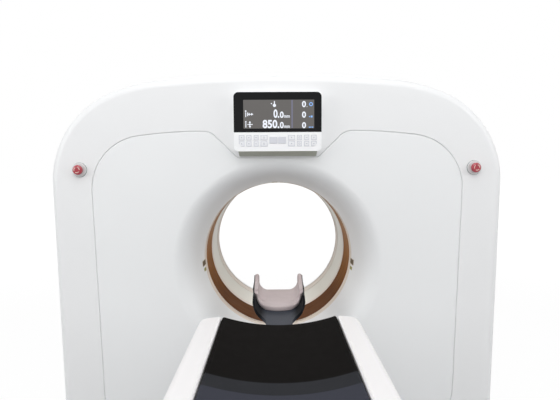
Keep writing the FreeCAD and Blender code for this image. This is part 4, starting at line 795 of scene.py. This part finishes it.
# ---------------------------------------------------------------- gantry
def rimmed_face(name, hole, top, bottom, y, joint_y, cover):
    """Right half of a cover round a hole's outline, drawn to its joint with a round rim."""
    rim = trace_gantry(cover, y)
    low_x = min((v.co for v in rim.data.vertices), key=lambda co: co.z).x
    obj = joined(name, rim, hole)
    edit(obj)
    link_up(obj, COVER_TOP_Z, top)
    pick(obj, "VERT", near(low_x, COVER_LOW_Z))
    extrude(-low_x, 0, 0)
    link_up(obj, COVER_LOW_Z, bottom)
    fill()
    on_rim, middle = in_group(obj, "rim"), near(0, COVER_LOW_Z)
    outer = both(at(y), lambda v: on_rim(v) and not middle(v))
    pick(obj, "EDGE", outer)
    extrude(0, joint_y - y, 0)
    pick(obj, "EDGE", outer)
    round_over(cover.rim_radius, 9)
    return obj


def turn_in(obj, depth, cover):
    """In edit mode, turn a face's edge in along the seam, round at the turn."""
    on_seam = both(in_group(obj, "seam"), at(FRONT_Y))
    pick(obj, "EDGE", on_seam)
    extrude(0, depth, 0)
    pick(obj, "EDGE", on_seam)
    round_over(cover.seam_round, 3)


def front_surround(cover, panel):
    """Outer front cover: crowned outline, rounded rim, and a rounded edge along the seam."""
    obj = rimmed_face("gantry_surround", trace_seam(panel, 0, FRONT_Y), panel.notch_z,
                      panel.bottom_z, FRONT_Y, COVER_JOINT_Y, cover)
    turn_in(obj, 2 * cover.wall, cover)
    complete(obj)
    stand_in(obj, "front_surround")


def seam_ledge(cover, panel):
    """The ledge behind the seam, which the panel sits on."""
    y = FRONT_Y + cover.wall
    obj = joined("seam_ledge", trace_seam(panel, -2 * cover.seam, y),
                 trace_seam(panel, 4 * cover.seam, y))
    edit(obj)
    bpy.ops.mesh.bridge_edge_loops()
    everything()
    extrude(0, cover.ledge, 0)
    complete(obj)
    dress(obj, "front_surround", "cover_paint")


def front_panel(cover, panel, bore):
    """Inner panel: its edge rounded along the seam, its middle rolled into the funnel."""
    throat = bore.radius + bore.step
    mouth = throat + bore.flare_width
    obj = joined("gantry_panel", trace_seam(panel, cover.seam, FRONT_Y),
                 trace_mouth(mouth, FRONT_Y, bore))
    edit(obj)
    link_up(obj, panel.notch_z - cover.seam, AXIS_Z + mouth)
    link_up(obj, panel.bottom_z + cover.seam, AXIS_Z - mouth)
    fill()
    turn_in(obj, cover.wall, cover)
    pick(obj, "EDGE", in_group(obj, "mouth"))
    turns = [math.pi / 2 * ring / bore.flare_rings for ring in range(bore.flare_rings + 1)]
    draw_rings([(throat + bore.flare_width * (1 - math.sin(turn)),
                 FRONT_Y + bore.flare_depth * (1 - math.cos(turn))) for turn in turns]
               + [(throat, BORE_FRONT_Y)])
    complete(obj)
    stand_in(obj, "front_panel", "trim_cream")
    cream_from = FRONT_Y + bore.flare_depth - MICRON
    for face in obj.data.polygons:
        if all(obj.data.vertices[i].co.y > cream_from for i in face.vertices):
            face.material_index = 1


def rear_cover(cover, bore):
    """Rear cover: the gantry's outline with a rounded rim, and a conical mouth at the bore."""
    throat = bore.radius + bore.step
    mouth = throat + bore.rear_width
    obj = rimmed_face("gantry_rear", trace_mouth(mouth, COVER_REAR_Y, bore), AXIS_Z + mouth,
                      AXIS_Z - mouth, COVER_REAR_Y, REAR_COVER_Y, cover)
    on_mouth = in_group(obj, "mouth")
    pick(obj, "EDGE", on_mouth)
    draw_rings([(mouth, COVER_REAR_Y), (throat, BORE_REAR_Y + bore.rear_throat),
                (throat, BORE_REAR_Y)])
    pick(obj, "EDGE", both(on_mouth, at(COVER_REAR_Y)))
    round_over(bore.rear_edge, 6)
    complete(obj)
    stand_in(obj, "rear_cover")


def middle_sheet(cover, name, **cut):
    """Right half of the sheet between the gantry's front and rear covers, cut to one side."""
    obj = trace_gantry(cover, DOOR_LOW.y)
    obj.name = name
    edit(obj)
    extrude(0, DOOR_HIGH.y - DOOR_LOW.y, 0)
    everything()
    bpy.ops.mesh.bisect(plane_no=(1, 0, 0), **cut)
    done()
    return obj


def wall_up(obj, node, cover):
    """Give a cover's sheet its wall and ease its edges."""
    outwards(obj)
    apply(obj, "SOLIDIFY", thickness=cover.wall, offset=-1.0)
    ease(obj, cover.edge_round, limit=CUT_LIMIT)
    smooth(obj)
    stand_in(obj, node)


def top_cover(cover):
    """The lid over the crown, split from the side covers on both sides."""
    obj = middle_sheet(cover, "gantry_lid", plane_co=(LID_HIGH.x, 0, 0), clear_outer=True)
    mirror(obj)
    wall_up(obj, "top_cover", cover)


def side_covers(cover):
    """The two doors down the gantry's sides, the left one the right one's mirror image."""
    right = middle_sheet(cover, "gantry_side_right", plane_co=(DOOR_LOW.x, 0, 0),
                         clear_inner=True)
    only(right)
    bpy.ops.object.duplicate(linked=False)
    left = bpy.context.object
    left.name = "gantry_side_left"
    left.scale.x = -1
    settle(left)
    wall_up(right, "side_cover_right", cover)
    wall_up(left, "side_cover_left", cover)


# ---------------------------------------------------------------- bore
def tube(name, radius, low_y, high_y, wall, edge, bore):
    """An open tube about the bore's axis, its edges eased."""
    obj = primitive("cylinder", name, vertices=bore.round_steps, radius=radius,
                    depth=high_y - low_y, end_fill_type="NOTHING",
                    location=(0, (low_y + high_y) / 2, AXIS_Z), rotation=FACING)
    apply(obj, "SOLIDIFY", thickness=wall, offset=1.0)
    ease(obj, edge, limit=CUT_LIMIT)
    smooth(obj)
    return obj


def bore_tube(name, node, wall, bore):
    """A tube of the bore's wall, in place of its solid."""
    low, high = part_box(node)
    stand_in(tube(name, bore.radius, low.y, high.y, wall, wall / 5, bore), node)


def band_in_bore(name, low_y, high_y, bore):
    """A thin cream band laid on the bore's wall."""
    inside = bore.radius - bore.band - MILLIMETRE / 10
    band = tube(name, inside, low_y, high_y, bore.band, 0.4 * MILLIMETRE, bore)
    dress(band, "rear_bore_liner", "trim_cream")


def ring(name, place, radius, thickness, steps, sides):
    """A round ring that faces along the bore."""
    obj = primitive("torus", name, major_segments=steps, minor_segments=sides,
                    major_radius=radius, minor_radius=thickness, location=place,
                    rotation=FACING)
    smooth(obj, 60.0, False)
    return obj


def trim_ring(name, outside, thickness, y, bore):
    """A round trim ring in the bore, its middle line just outside the bore's wall."""
    obj = ring(name, (0, y, AXIS_Z), bore.radius + outside, thickness, bore.round_steps, 12)
    dress(obj, "front_panel", "trim_cream")


def turn_about_axis(obj, degrees):
    """Turn a finished mesh about the bore's axis, from the right side towards the top."""
    obj.rotation_euler = (0, -math.radians(degrees), 0)
    obj.location = (0, 0, AXIS_Z)
    settle(obj)


def film_lap(name, degrees, bore):
    """The lap where two lengths of the window's film meet."""
    proud, width, short = 0.0008, 0.007, 0.006
    obj = primitive("cube", name, (proud, WINDOW_REAR_Y - BORE_FRONT_Y - short, width), size=1,
                    location=(bore.radius - proud / 4, (BORE_FRONT_Y + WINDOW_REAR_Y) / 2, 0))
    ease(obj, 0.3 * MILLIMETRE)
    turn_about_axis(obj, degrees)
    dress(obj, "scan_window", "window_film")


def laser_slot(name, degrees, width, depth, tone, bore):
    """A laser's window with its cream frame, both laid on the funnel's roll."""
    near_roll = (bore.radius + 0.02, bore.slot_y, 0)
    for part, frames, lift, cuts, finish in (("frame", 2, 2 * MARK_GAP, 5, "trim_cream"),
                                             ("glass", 1, MARK_GAP, 9, tone)):
        border = frames * bore.slot_frame
        obj = primitive("plane", f"{name}_{part}", (width + border, depth + border, 1), size=1,
                        location=near_roll, rotation=(0, -math.pi / 2, 0))
        edit(obj)
        if part == "frame":
            round_corners(bore.slot_corner, 5)
            bpy.ops.mesh.inset(thickness=bore.slot_frame)
            bpy.ops.mesh.delete(type="FACE")
            everything()
        bpy.ops.mesh.subdivide(number_cuts=cuts)
        done()
        turn_about_axis(obj, degrees)
        apply(obj, "SHRINKWRAP", target=bpy.data.objects["gantry_panel"],
              wrap_method="NEAREST_SURFACEPOINT", wrap_mode="ABOVE_SURFACE", offset=lift)
        outwards(obj)
        apply(obj, "SOLIDIFY", thickness=lift, offset=0.0)
        smooth(obj, 40.0)
        dress(obj, "laser_windows", finish)


# ---------------------------------------------------------------- solids with eased edges
def merged_copy(node, name=None):
    """A copy of a solid's mesh with its triangles merged into clean faces."""
    obj = bpy.data.objects.new(name or "fine_" + node, NODES[node].data.copy())
    bpy.context.scene.collection.objects.link(obj)
    only(obj)
    bpy.ops.mesh.customdata_custom_splitnormals_clear()
    edit(obj)
    bpy.ops.mesh.remove_doubles(threshold=WELD)
    bpy.ops.mesh.dissolve_limited(angle_limit=math.radians(FLAT_TURN))
    done()
    return obj


def eased(node, edge, segments=2, limit=35.0):
    """Stands for a plain solid: a merged copy of it with its edges rounded over."""
    obj = merged_copy(node)
    ease(obj, edge, segments, limit)
    smooth(obj, SOLID_TURN)
    stand_in(obj, node)


# ---------------------------------------------------------------- read-out
def figure(text, x, z, width, height, y):
    """Flat upright lettering in front of the glass, fitted to a width and height."""
    bpy.ops.object.select_all(action="DESELECT")
    bpy.ops.object.text_add()
    obj = bpy.context.object
    obj.data.body = text
    obj.data.offset = 0.02 if text.isalpha() else 0.03
    obj.data.extrude = 0.01
    obj.data.resolution_u = 4
    bpy.ops.object.convert(target="MESH")
    obj.rotation_euler = FACING
    settle(obj)
    low, high = (Vector([reach(v.co[i] for v in obj.data.vertices) for i in range(3)])
                 for reach in (min, max))
    obj.location = -low
    settle(obj)
    obj.scale = [wanted / found for wanted, found in zip((width, MARK, height), high - low)]
    settle(obj)
    obj.location = (x, y - MARK, z)
    settle(obj)
    return obj


def thicken(obj):
    """Give the flat mark that is being edited its depth."""
    everything()
    extrude(0, MARK, 0)
    done()
    outwards(obj)
    return obj


def bar(x0, z0, x1, z1, y, corner=0.0008):
    """A flat mark with rounded corners."""
    obj = primitive("plane", "mark", (x1 - x0, z1 - z0, 1), size=1,
                    location=((x0 + x1) / 2, y, (z0 + z1) / 2), rotation=FACING)
    edit(obj)
    round_corners(corner, 3)
    return thicken(obj)


def disc(x, z, radius, y, sides=24, hole=0.0, turn=0.0):
    """A flat round or cornered mark, with a hole in it where one is asked for."""
    obj = primitive("circle", "mark", vertices=sides, radius=radius, fill_type="NGON",
                    location=(x, y, z), rotation=(math.pi / 2, turn, 0))
    edit(obj)
    if hole:
        bpy.ops.mesh.inset(thickness=radius - hole)
        bpy.ops.mesh.delete(type="FACE")
    return thicken(obj)


def display_housing(display):
    """The housing with its edges eased, and painted shade on the strip under its lip."""
    low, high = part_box("display_housing")
    lip, corner = low.z + display.lip, display.lower_corner
    spare, deep = 0.01, 0.08
    obj = merged_copy("display_housing")
    for side in (-1, 1):
        trace = Trace(high.x, low.y - spare, lip + corner, -math.pi / 2)
        trace.arc(corner, -math.pi / 2, corner / 8)
        trace.heading = -math.pi / 2
        trace.to_z(low.z - spare)
        trace.heading = 0
        trace.to_x(high.x + spare)
        trace.heading = math.pi / 2
        trace.to_z(lip + corner)
        cutter = trace.end("cutter")
        edit(cutter)
        fill()
        everything()
        extrude(0, deep, 0)
        done()
        cutter.scale.x = side
        settle(cutter)
        outwards(cutter)
        apply(obj, "BOOLEAN", operation="DIFFERENCE", object=cutter, solver="EXACT")
        bpy.data.objects.remove(cutter)
    ease(obj, display.edge_round, 3)
    smooth(obj, SOLID_TURN)
    stand_in(obj, "display_housing", "housing_foot")
    # painted shade: the strip's downward faces under the lip take the darker finish
    for face in obj.data.polygons:
        slanted = -0.95 < face.normal.z < -0.4 and face.normal.y < -0.2
        if slanted and face.center.z < lip and abs(face.normal.x) < 0.5:
            face.material_index = 1


def read_out():
    """The lit field with its plain figures and marks, all just proud of the glass."""
    step = 2 * MARK_GAP
    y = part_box("display_glass")[0].y - 2 * step
    field = bar(-0.1413, 1.5834, 0.1507, 1.7000, y + step, 0.002)
    divider = bar(0.0565, 1.5848, 0.0625, 1.6990, y)
    figures = [figure(text, *place, y) for text, *place in (
        ("0.", -0.0172, 1.6260, 0.0240, 0.0352), ("0", 0.0090, 1.6260, 0.0158, 0.0262),
        ("850.", -0.0625, 1.5842, 0.0693, 0.0345), ("0", 0.0090, 1.5842, 0.0158, 0.0258),
        ("0", 0.1003, 1.6692, 0.0166, 0.0255), ("0", 0.1003, 1.6264, 0.0166, 0.0255),
        ("0", 0.1003, 1.5836, 0.0166, 0.0250), ("mm", 0.0262, 1.6268, 0.0238, 0.0098),
        ("mm", 0.0262, 1.5850, 0.0238, 0.0098))]
    marks = [
        bar(-0.0151, 1.6760, -0.0109, 1.6950, y, 0.0018), disc(-0.0130, 1.6772, 0.0066, y),
        disc(-0.0252, 1.6846, 0.0026, y, 12), disc(0.1210, 1.6712, 0.0016, y, 12),
        bar(-0.1331, 1.6300, -0.1296, 1.6500, y, 0.0014), disc(-0.1313, 1.6546, 0.0032, y, 16),
        bar(-0.1331, 1.5870, -0.1296, 1.6060, y, 0.0014), disc(-0.1313, 1.6106, 0.0032, y, 16),
        bar(-0.1250, 1.6400, -0.1090, 1.6430, y),
        disc(-0.1060, 1.6415, 0.0062, y, 3, 0, math.pi / 2),
        bar(-0.1250, 1.6340, -0.1215, 1.6490, y), bar(-0.1185, 1.6365, -0.1155, 1.6465, y),
        bar(-0.1250, 1.5985, -0.1030, 1.6015, y), bar(-0.1165, 1.5920, -0.1130, 1.6080, y),
        disc(-0.1147, 1.6094, 0.0052, y, 3), disc(-0.1147, 1.5906, 0.0052, y, 3, 0, math.pi),
    ]
    blue = [
        disc(0.1375, 1.6815, 0.0080, y, 28, 0.0048), disc(0.1310, 1.6310, 0.0022, y, 12),
        bar(0.1360, 1.6275, 0.1440, 1.6352, y, 0.0015),
        bar(0.1285, 1.5862, 0.1372, 1.5900, y), bar(0.1395, 1.5862, 0.1468, 1.5900, y),
    ]
    for name, finish, pieces in (("field", "screen_glow", [field]),
                                 ("divider", "line_glow", [divider]),
                                 ("figures", "digit_glow", figures + marks),
                                 ("blue", "unit_glow", blue)):
        dress(joined("readout_" + name, *pieces), "display_glass", finish)


def middle_of(node):
    """Middle of a solid seen from the front, and the place of its nearest side."""
    low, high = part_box(node)
    return (low.x + high.x) / 2, (low.z + high.z) / 2, low.y


def key_mark(node, kind, display):
    """A key's pale inlay with a small generic mark on it; both travel with the key."""
    low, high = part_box(node)
    x, z, y = middle_of(node)
    y -= MARK_GAP
    border, half = display.key_border, display.key_mark
    inlay = bar(low.x + border, low.z + border, high.x - border, high.z - border, y, 0.002)
    paint(inlay, "key_inlay")
    y -= MARK
    if kind == 2:
        mark = bar(x - half, z - 0.3 * half, x + half, z + 0.3 * half, y)
    else:
        sides, hole, turn = {0: (3, 0, 0), 1: (3, 0, math.pi), 3: (24, 0.6 * half, 0)}[kind]
        mark = disc(x, z, half, y, sides, hole, turn)
    paint(mark, "key_mark")
    mark = joined("mark_" + node, inlay, mark)
    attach(mark, NODES[node]["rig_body"])


def stop_arrows(node, stop):
    """Three pale curved arrows on a stop button's cap, which say how to turn it free."""
    x, z, y = middle_of(node)
    y -= MARK
    middle = (stop.arrow_inner + stop.arrow_outer) / 2
    arrows = []
    for start in (0, 2 * math.pi / 3, 4 * math.pi / 3):
        arc = disc(x, z, stop.arrow_outer, y, 72, stop.arrow_inner)
        edit(arc)
        pick(arc, "VERT", lambda v, start=start: (
            (math.atan2(v.co.z - z, v.co.x - x) - start) % (2 * math.pi) > stop.arrow_turn))
        bpy.ops.mesh.delete(type="VERT")
        done()
        end = start + stop.arrow_turn
        head = disc(x + middle * math.cos(end), z + middle * math.sin(end),
                    stop.arrow_outer - stop.arrow_inner, y, 3, 0, -end)
        arrows += [arc, head]
    dress(joined("arrows_" + node, *arrows), node, "stop_mark")


def stop_gasket(node, stop):
    """The thin dark seal between a stop button's ring and the cover."""
    x, z = middle_of(node)[:2]
    seal = ring("gasket_" + node, (x, FRONT_Y - stop.gasket / 2, z), stop.ring_radius,
                stop.gasket, 64, 8)
    dress(seal, "estop_rings", "gasket_grey")


# ---------------------------------------------------------------- table top
def mat(table):
    """The long foam mat: dished, its edges rounded, its surface a little uneven."""
    edge, flat = table.mat_edge, table.mat_thickness - 2 * table.mat_edge
    rise = math.asin((table.mat_half_width - edge) / (table.mat_radius + edge + flat))
    trace = Trace(0, MAT_FOOT_Y, table.mat_centre_z, name="mat")
    long_step, short_step = 0.012, 0.002
    trace.arc(table.mat_radius, rise, long_step)
    trace.arc(edge, -math.pi / 2, short_step)
    trace.ahead(flat)
    trace.arc(edge, -math.pi / 2, short_step)
    trace.arc(table.mat_radius + table.mat_thickness, -rise, long_step)
    obj = trace.end("outline")
    mirror(obj)
    edit(obj)
    fill()
    extrude(0, MAT_END_Y - MAT_FOOT_Y, 0)
    for end in (MAT_FOOT_Y, MAT_END_Y):
        pick(obj, "EDGE", at(end))
        round_over(edge, 4)
    done()
    first, run = MAT_FOOT_Y + edge, MAT_END_Y - MAT_FOOT_Y - 2 * edge
    cut_across(obj, (0, 1, 0), [(0, first + run * cut / table.mat_cuts, 0)
                                for cut in range(1, table.mat_cuts)])
    outwards(obj)
    foam = bpy.data.textures.new("foam", "CLOUDS")
    foam.noise_scale = 0.24
    apply(obj, "DISPLACE", texture=foam, strength=table.mat_softness, mid_level=0.5)
    smooth(obj, 60.0)
    stand_in(obj, "cushion")


def drawn_in(obj, share, holder):
    """Draw the cup in towards its neck, softly, down to a share of its width."""
    low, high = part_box("head_holder")
    lattice = bpy.data.lattices.new("draw_in")
    lattice.points_u, lattice.points_v, lattice.points_w = 2, DRAW_STEPS + 1, 2
    cage = bpy.data.objects.new("draw_in", lattice)
    bpy.context.scene.collection.objects.link(cage)
    cage.location = (low + high) / 2
    spare = 1.02
    cage.scale = (high - low) * spare
    cage.scale.y /= DRAW_STEPS
    for point in lattice.points:
        y = cage.location.y + cage.scale.y * point.co.y
        away = min(1.0, abs(y - holder.draw_y) / holder.draw_reach)
        soft = (1 + math.cos(math.pi * away)) / 2
        point.co_deform.x = point.co.x * (1 - (1 - share) * soft)
    cut_across(obj, (0, 1, 0), [(0, holder.draw_y + step * holder.draw_reach / DRAW_CUTS, 0)
                                for step in range(-DRAW_CUTS, DRAW_CUTS + 1)])
    bpy.context.view_layer.update()
    apply(obj, "LATTICE", object=cage)
    bpy.data.objects.remove(cage)


def widen(obj, factor, test):
    """Scale the chosen vertices sideways from the holder's middle plane."""
    pick(obj, "VERT", test)
    bpy.ops.transform.resize(value=(factor, 1, 1), center_override=(0, 0, 0))


def shift(obj, y, z, test):
    pick(obj, "VERT", test)
    bpy.ops.transform.translate(value=(0, y, z))


def head_shell(holder):
    """The holder's carbon shell: above its rim the ears are thin plates, set in a little."""
    obj = merged_copy("head_holder")
    above = holder.rim_z + holder.step_top
    cut_across(obj, (0, 0, 1), [(0, 0, holder.rim_z + holder.step_foot), (0, 0, above)])
    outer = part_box("head_holder")[1].x
    inner = 2 * holder.wall_middle - outer
    plate = outer - holder.ear_step
    edit(obj)
    widen(obj, plate / outer,
          lambda v: v.co.z > above - MICRON and abs(v.co.x) > holder.wall_middle)
    widen(obj, (plate - holder.ear_wall) / inner,
          lambda v: v.co.z > above - MICRON and abs(v.co.x) < inner + MICRON)
    shift(obj, 0, -holder.ear_drop, lambda v: v.co.z > holder.rim_z + holder.drop_start)
    done()
    drawn_in(obj, holder.shell_share, holder)
    ease(obj, 0.0012)
    smooth(obj, SOLID_TURN)
    stand_in(obj, "head_holder")


def corner_foam(side, turn, holder):
    """A block of foam that rounds out the corner between the pad's floor and its wall."""
    reach = holder.corner_radius + holder.corner_foam / 2
    place = (side * (holder.corner_x + reach * math.sin(turn)),
             (holder.corner_near_y + holder.corner_far_y) / 2,
             holder.corner_z - reach * math.cos(turn))
    return primitive("cube", "foam",
                     (2.2 * holder.corner_radius * math.tan(FOAM_TURN / 2),
                      holder.corner_far_y - holder.corner_near_y, holder.corner_foam),
                     size=1, location=place, rotation=(0, -side * turn, 0))


def head_pad(holder):
    """The foam liner: thick round ears, soft corners, all eased on a fine even grid."""
    obj = merged_copy("head_pad", "head_pad_foam")
    above = holder.rim_z + holder.pad_step
    cut_across(obj, (0, 0, 1), [(0, 0, above)])
    low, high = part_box("head_pad")
    ear_outer = (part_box("head_holder")[1].x - holder.ear_step - holder.ear_wall
                 - holder.ear_gap)
    ear_inner = ear_outer - holder.ear_foam
    edit(obj)
    widen(obj, ear_outer / high.x,
          lambda v: v.co.z > above - MICRON and abs(v.co.x) > high.x - 0.006)
    inner = min(abs(v.co.x) for v in obj.data.vertices if v.co.z > above)
    widen(obj, ear_inner / inner,
          lambda v: v.co.z > above - MICRON and abs(v.co.x) < inner + 0.002)
    shift(obj, -holder.pad_reach, 0, lambda v: v.co.y < low.y + holder.near_face)
    upper = above + MILLIMETRE
    for test in (lambda v: v.co.z > upper and abs(v.co.x) > ear_outer - MILLIMETRE,
                 lambda v: v.co.z > upper and abs(v.co.x) < ear_inner + MILLIMETRE):
        pick(obj, "EDGE", test)
        round_over(0.45 * holder.ear_foam, 5)
    done()
    joined(obj.name, obj, *[corner_foam(side, FOAM_TURN * step, holder)
                            for side in (-1, 1) for step in range(1, 5)])
    apply(obj, "REMESH", mode="VOXEL", voxel_size=holder.pad_grid)
    apply(obj, "SMOOTH", factor=0.5, iterations=holder.pad_rounding)
    apply(obj, "DISPLACE", strength=holder.pad_swell, mid_level=0.0)
    drawn_in(obj, holder.pad_share, holder)
    smooth(obj, 80.0, False)
    stand_in(obj, "head_pad")


# ---------------------------------------------------------------- stage
def make_stage():
    floor = primitive("plane", "floor", size=60)
    finish = Finish("floor_pale", (0.56, 0.56, 0.56), 0.8)
    far = finish.node("VectorMath", finish.place, operation="LENGTH").outputs["Value"]
    paleness = finish.spread(far, 0.9, 1.0, 3.0, 8.0)
    portion = finish.node("Math", finish.seen_directly(), paleness, operation="MULTIPLY")
    glow = finish.node("Emission", Color=WHITE, Strength=1.05)
    finish.seen_white("Material Output", finish.shader, glow, portion.outputs["Value"])
    paint(floor, "floor_pale")

    world = bpy.data.worlds.new("studio")
    bpy.context.scene.world = world
    world.use_nodes = True
    sky = Shading(world.node_tree)
    shade = world.node_tree.nodes["Background"]
    shade.inputs["Color"].default_value = (0.97, 0.985, 1.0, 1.0)
    shade.inputs["Strength"].default_value = 0.36
    white = sky.node("Background", Color=WHITE, Strength=1.0)
    sky.seen_white("World Output", shade, white, sky.seen_directly())

    lamp("overhead", (0.0, -2.6, 4.0), (0, -0.5, 1.0), 3.5, 83.0)
    lamp("left", (-3.8, -2.4, 2.6), (0, -0.4, 1.0), 2.5, 54.0)
    lamp("right", (3.8, -2.4, 2.6), (0, -0.4, 1.0), 2.5, 47.0)
    lamp("behind", (0.0, 4.2, 3.4), (0, 0.4, 0.9), 3.0, 75.0)


def lamp(name, place, target, size, power):
    bpy.ops.object.select_all(action="DESELECT")
    bpy.ops.object.light_add(type="AREA", location=place)
    obj = bpy.context.object
    obj.name = name
    obj.data.size = size
    obj.data.energy = power
    obj.rotation_euler = (Vector(target) - Vector(place)).to_track_quat("-Z", "Y").to_euler()


def make_camera():
    bpy.ops.object.camera_add(location=(-0.014, -2.215, 1.437),
                              rotation=[math.radians(turn) for turn in (85.21, 0.342, -0.717)])
    camera = bpy.context.object
    camera.name = "view_from_table"
    camera.data.sensor_width = 36.0
    camera.data.lens = 27.643
    camera.data.clip_start = 0.01
    bpy.context.scene.camera = camera


# ---------------------------------------------------------------- operators
class SCANNER_OT_finishes(bpy.types.Operator):
    """Make the finishes and give each carried-over solid its own"""
    bl_idname = "scanner.finishes"
    bl_label = "Finishes"

    def execute(self, context):
        make_finishes(context.scene.scanner_colours)
        for node, obj in NODES.items():
            paint(obj, FINISH_OF_NODE[node])
        return {"FINISHED"}


class SCANNER_OT_front(bpy.types.Operator):
    """Model the outer front cover, the seam's ledge and the panel with its funnel"""
    bl_idname = "scanner.front"
    bl_label = "Front covers"

    def execute(self, context):
        scene = context.scene
        front_surround(scene.scanner_cover, scene.scanner_panel)
        seam_ledge(scene.scanner_cover, scene.scanner_panel)
        front_panel(scene.scanner_cover, scene.scanner_panel, scene.scanner_bore)
        return {"FINISHED"}


class SCANNER_OT_covers(bpy.types.Operator):
    """Model the lid, the two side covers and the rear cover"""
    bl_idname = "scanner.covers"
    bl_label = "Lid, sides and rear"

    def execute(self, context):
        scene = context.scene
        top_cover(scene.scanner_cover)
        side_covers(scene.scanner_cover)
        rear_cover(scene.scanner_cover, scene.scanner_bore)
        return {"FINISHED"}


class SCANNER_OT_bore(bpy.types.Operator):
    """Model the bore's tubes, trim rings, film laps and laser slots"""
    bl_idname = "scanner.bore"
    bl_label = "Bore"

    def execute(self, context):
        bore = context.scene.scanner_bore
        bore_tube("bore_window", "scan_window", bore.window_wall, bore)
        bore_tube("bore_liner", "rear_bore_liner", bore.liner_wall, bore)
        trim_ring("bore_trim_front", 0.0035, 0.0055, BORE_FRONT_Y, bore)
        half = 0.016
        band_in_bore("bore_trim_middle", WINDOW_REAR_Y - half, WINDOW_REAR_Y + half, bore)
        band_in_bore("bore_band_rear", BORE_REAR_Y - 0.060, BORE_REAR_Y - 0.004, bore)
        trim_ring("bore_trim_rear", 0.0015, 0.0045, BORE_REAR_Y, bore)
        film_lap("window_lap_left", 181.0, bore)
        film_lap("window_lap_right", 19.0, bore)
        for name, bearing, turn, tone in (("laser_right", -4.7, -5.1, "window_glass"),
                                          ("laser_top", 92.4, -5.1, "laser_green"),
                                          ("laser_left", 184.7, 5.1, "window_glass")):
            laser_slot(name, bearing, bore.slot_width, bore.slot_length, tone, bore)
            laser_slot(name + "_lamp", bearing + turn, bore.lamp_width, bore.lamp_length,
                       "laser_green", bore)
        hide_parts("laser_windows")
        return {"FINISHED"}


class SCANNER_OT_display(bpy.types.Operator):
    """Model the read-out's housing, glass, lit field, figures and marks"""
    bl_idname = "scanner.display"
    bl_label = "Display"

    def execute(self, context):
        display_housing(context.scene.scanner_display)
        eased("display_glass", 0.0008)
        read_out()
        return {"FINISHED"}


class SCANNER_OT_keys(bpy.types.Operator):
    """Model the keys under the display, each with its mark"""
    bl_idname = "scanner.keys"
    bl_label = "Keys"

    def execute(self, context):
        keys = sorted(node for node in NODES if node.startswith("key_"))
        for number, node in enumerate(keys):
            eased(node, 0.0006)
            if "middle" not in node:
                key_mark(node, number % 4, context.scene.scanner_display)
        return {"FINISHED"}


class SCANNER_OT_stops(bpy.types.Operator):
    """Model the stop buttons: rings, stems, caps and their arrows"""
    bl_idname = "scanner.stops"
    bl_label = "Stop buttons"

    def execute(self, context):
        stops = context.scene.scanner_stops
        eased("estop_rings", 0.0020, segments=3)
        for side in ("left", "right"):
            eased("estop_stem_" + side, 0.0005)
            eased("estop_cap_" + side, 0.0010, segments=3, limit=20.0)
            stop_arrows("estop_cap_" + side, stops)
            stop_gasket("estop_cap_" + side, stops)
        return {"FINISHED"}


class SCANNER_OT_table(bpy.types.Operator):
    """Model the table's body, plinth, pan, rails, carriage and lift"""
    bl_idname = "scanner.table"
    bl_label = "Table"

    def execute(self, context):
        eased("table_body_cover", 0.0022, segments=3)
        eased("table_base_cover", 0.0022, segments=3)
        for node in ("cradle", "cradle_rails", "carriage_frame", "table_base_frame",
                     "lift_arm_front", "lift_arm_rear", "lift_gearmotor", "base_frame"):
            eased(node, 0.0015)
        return {"FINISHED"}


class SCANNER_OT_mat(bpy.types.Operator):
    """Model the mat of the table"""
    bl_idname = "scanner.mat"
    bl_label = "Mat"

    def execute(self, context):
        mat(context.scene.scanner_table)
        return {"FINISHED"}


class SCANNER_OT_head(bpy.types.Operator):
    """Model the head holder and its foam liner"""
    bl_idname = "scanner.head"
    bl_label = "Head holder"

    def execute(self, context):
        head_shell(context.scene.scanner_holder)
        head_pad(context.scene.scanner_holder)
        return {"FINISHED"}


class SCANNER_OT_stage(bpy.types.Operator):
    """Set up the floor, the light and the camera"""
    bl_idname = "scanner.stage"
    bl_label = "Stage"

    def execute(self, context):
        make_stage()
        make_camera()
        context.scene.view_settings.view_transform = "Standard"
        return {"FINISHED"}


OPERATORS = (
    SCANNER_OT_finishes, SCANNER_OT_front, SCANNER_OT_covers, SCANNER_OT_bore,
    SCANNER_OT_display, SCANNER_OT_keys, SCANNER_OT_stops, SCANNER_OT_table, SCANNER_OT_mat,
    SCANNER_OT_head, SCANNER_OT_stage,
)


class SCANNER_PT_panel(bpy.types.Panel):
    """Lists the steps that dress the scanner"""
    bl_idname = "SCANNER_PT_panel"
    bl_label = "CT scanner"
    bl_space_type = "VIEW_3D"
    bl_region_type = "UI"
    bl_category = "CT scanner"

    def draw(self, context):
        for operator in OPERATORS:
            self.layout.operator(operator.bl_idname)


GROUPS = {
    "scanner_cover": ScannerCoverSizes,
    "scanner_panel": ScannerPanelSizes,
    "scanner_bore": ScannerBoreSizes,
    "scanner_table": ScannerTableSizes,
    "scanner_display": ScannerDisplaySizes,
    "scanner_holder": ScannerHolderSizes,
    "scanner_stops": ScannerStopSizes,
    "scanner_colours": ScannerColours,
}


def register():
    for group in GROUPS.values():
        bpy.utils.register_class(group)
    for name, group in GROUPS.items():
        setattr(bpy.types.Scene, name, bpy.props.PointerProperty(type=group))
    for operator in OPERATORS:
        bpy.utils.register_class(operator)
    bpy.utils.register_class(SCANNER_PT_panel)


def unregister():
    bpy.utils.unregister_class(SCANNER_PT_panel)
    for operator in reversed(OPERATORS):
        bpy.utils.unregister_class(operator)
    for name, group in GROUPS.items():
        delattr(bpy.types.Scene, name)
        bpy.utils.unregister_class(group)


def main():
    register()
    for operator in OPERATORS:
        category, name = operator.bl_idname.split(".")
        getattr(getattr(bpy.ops, category), name)()


if __name__ == "__main__":
    main()
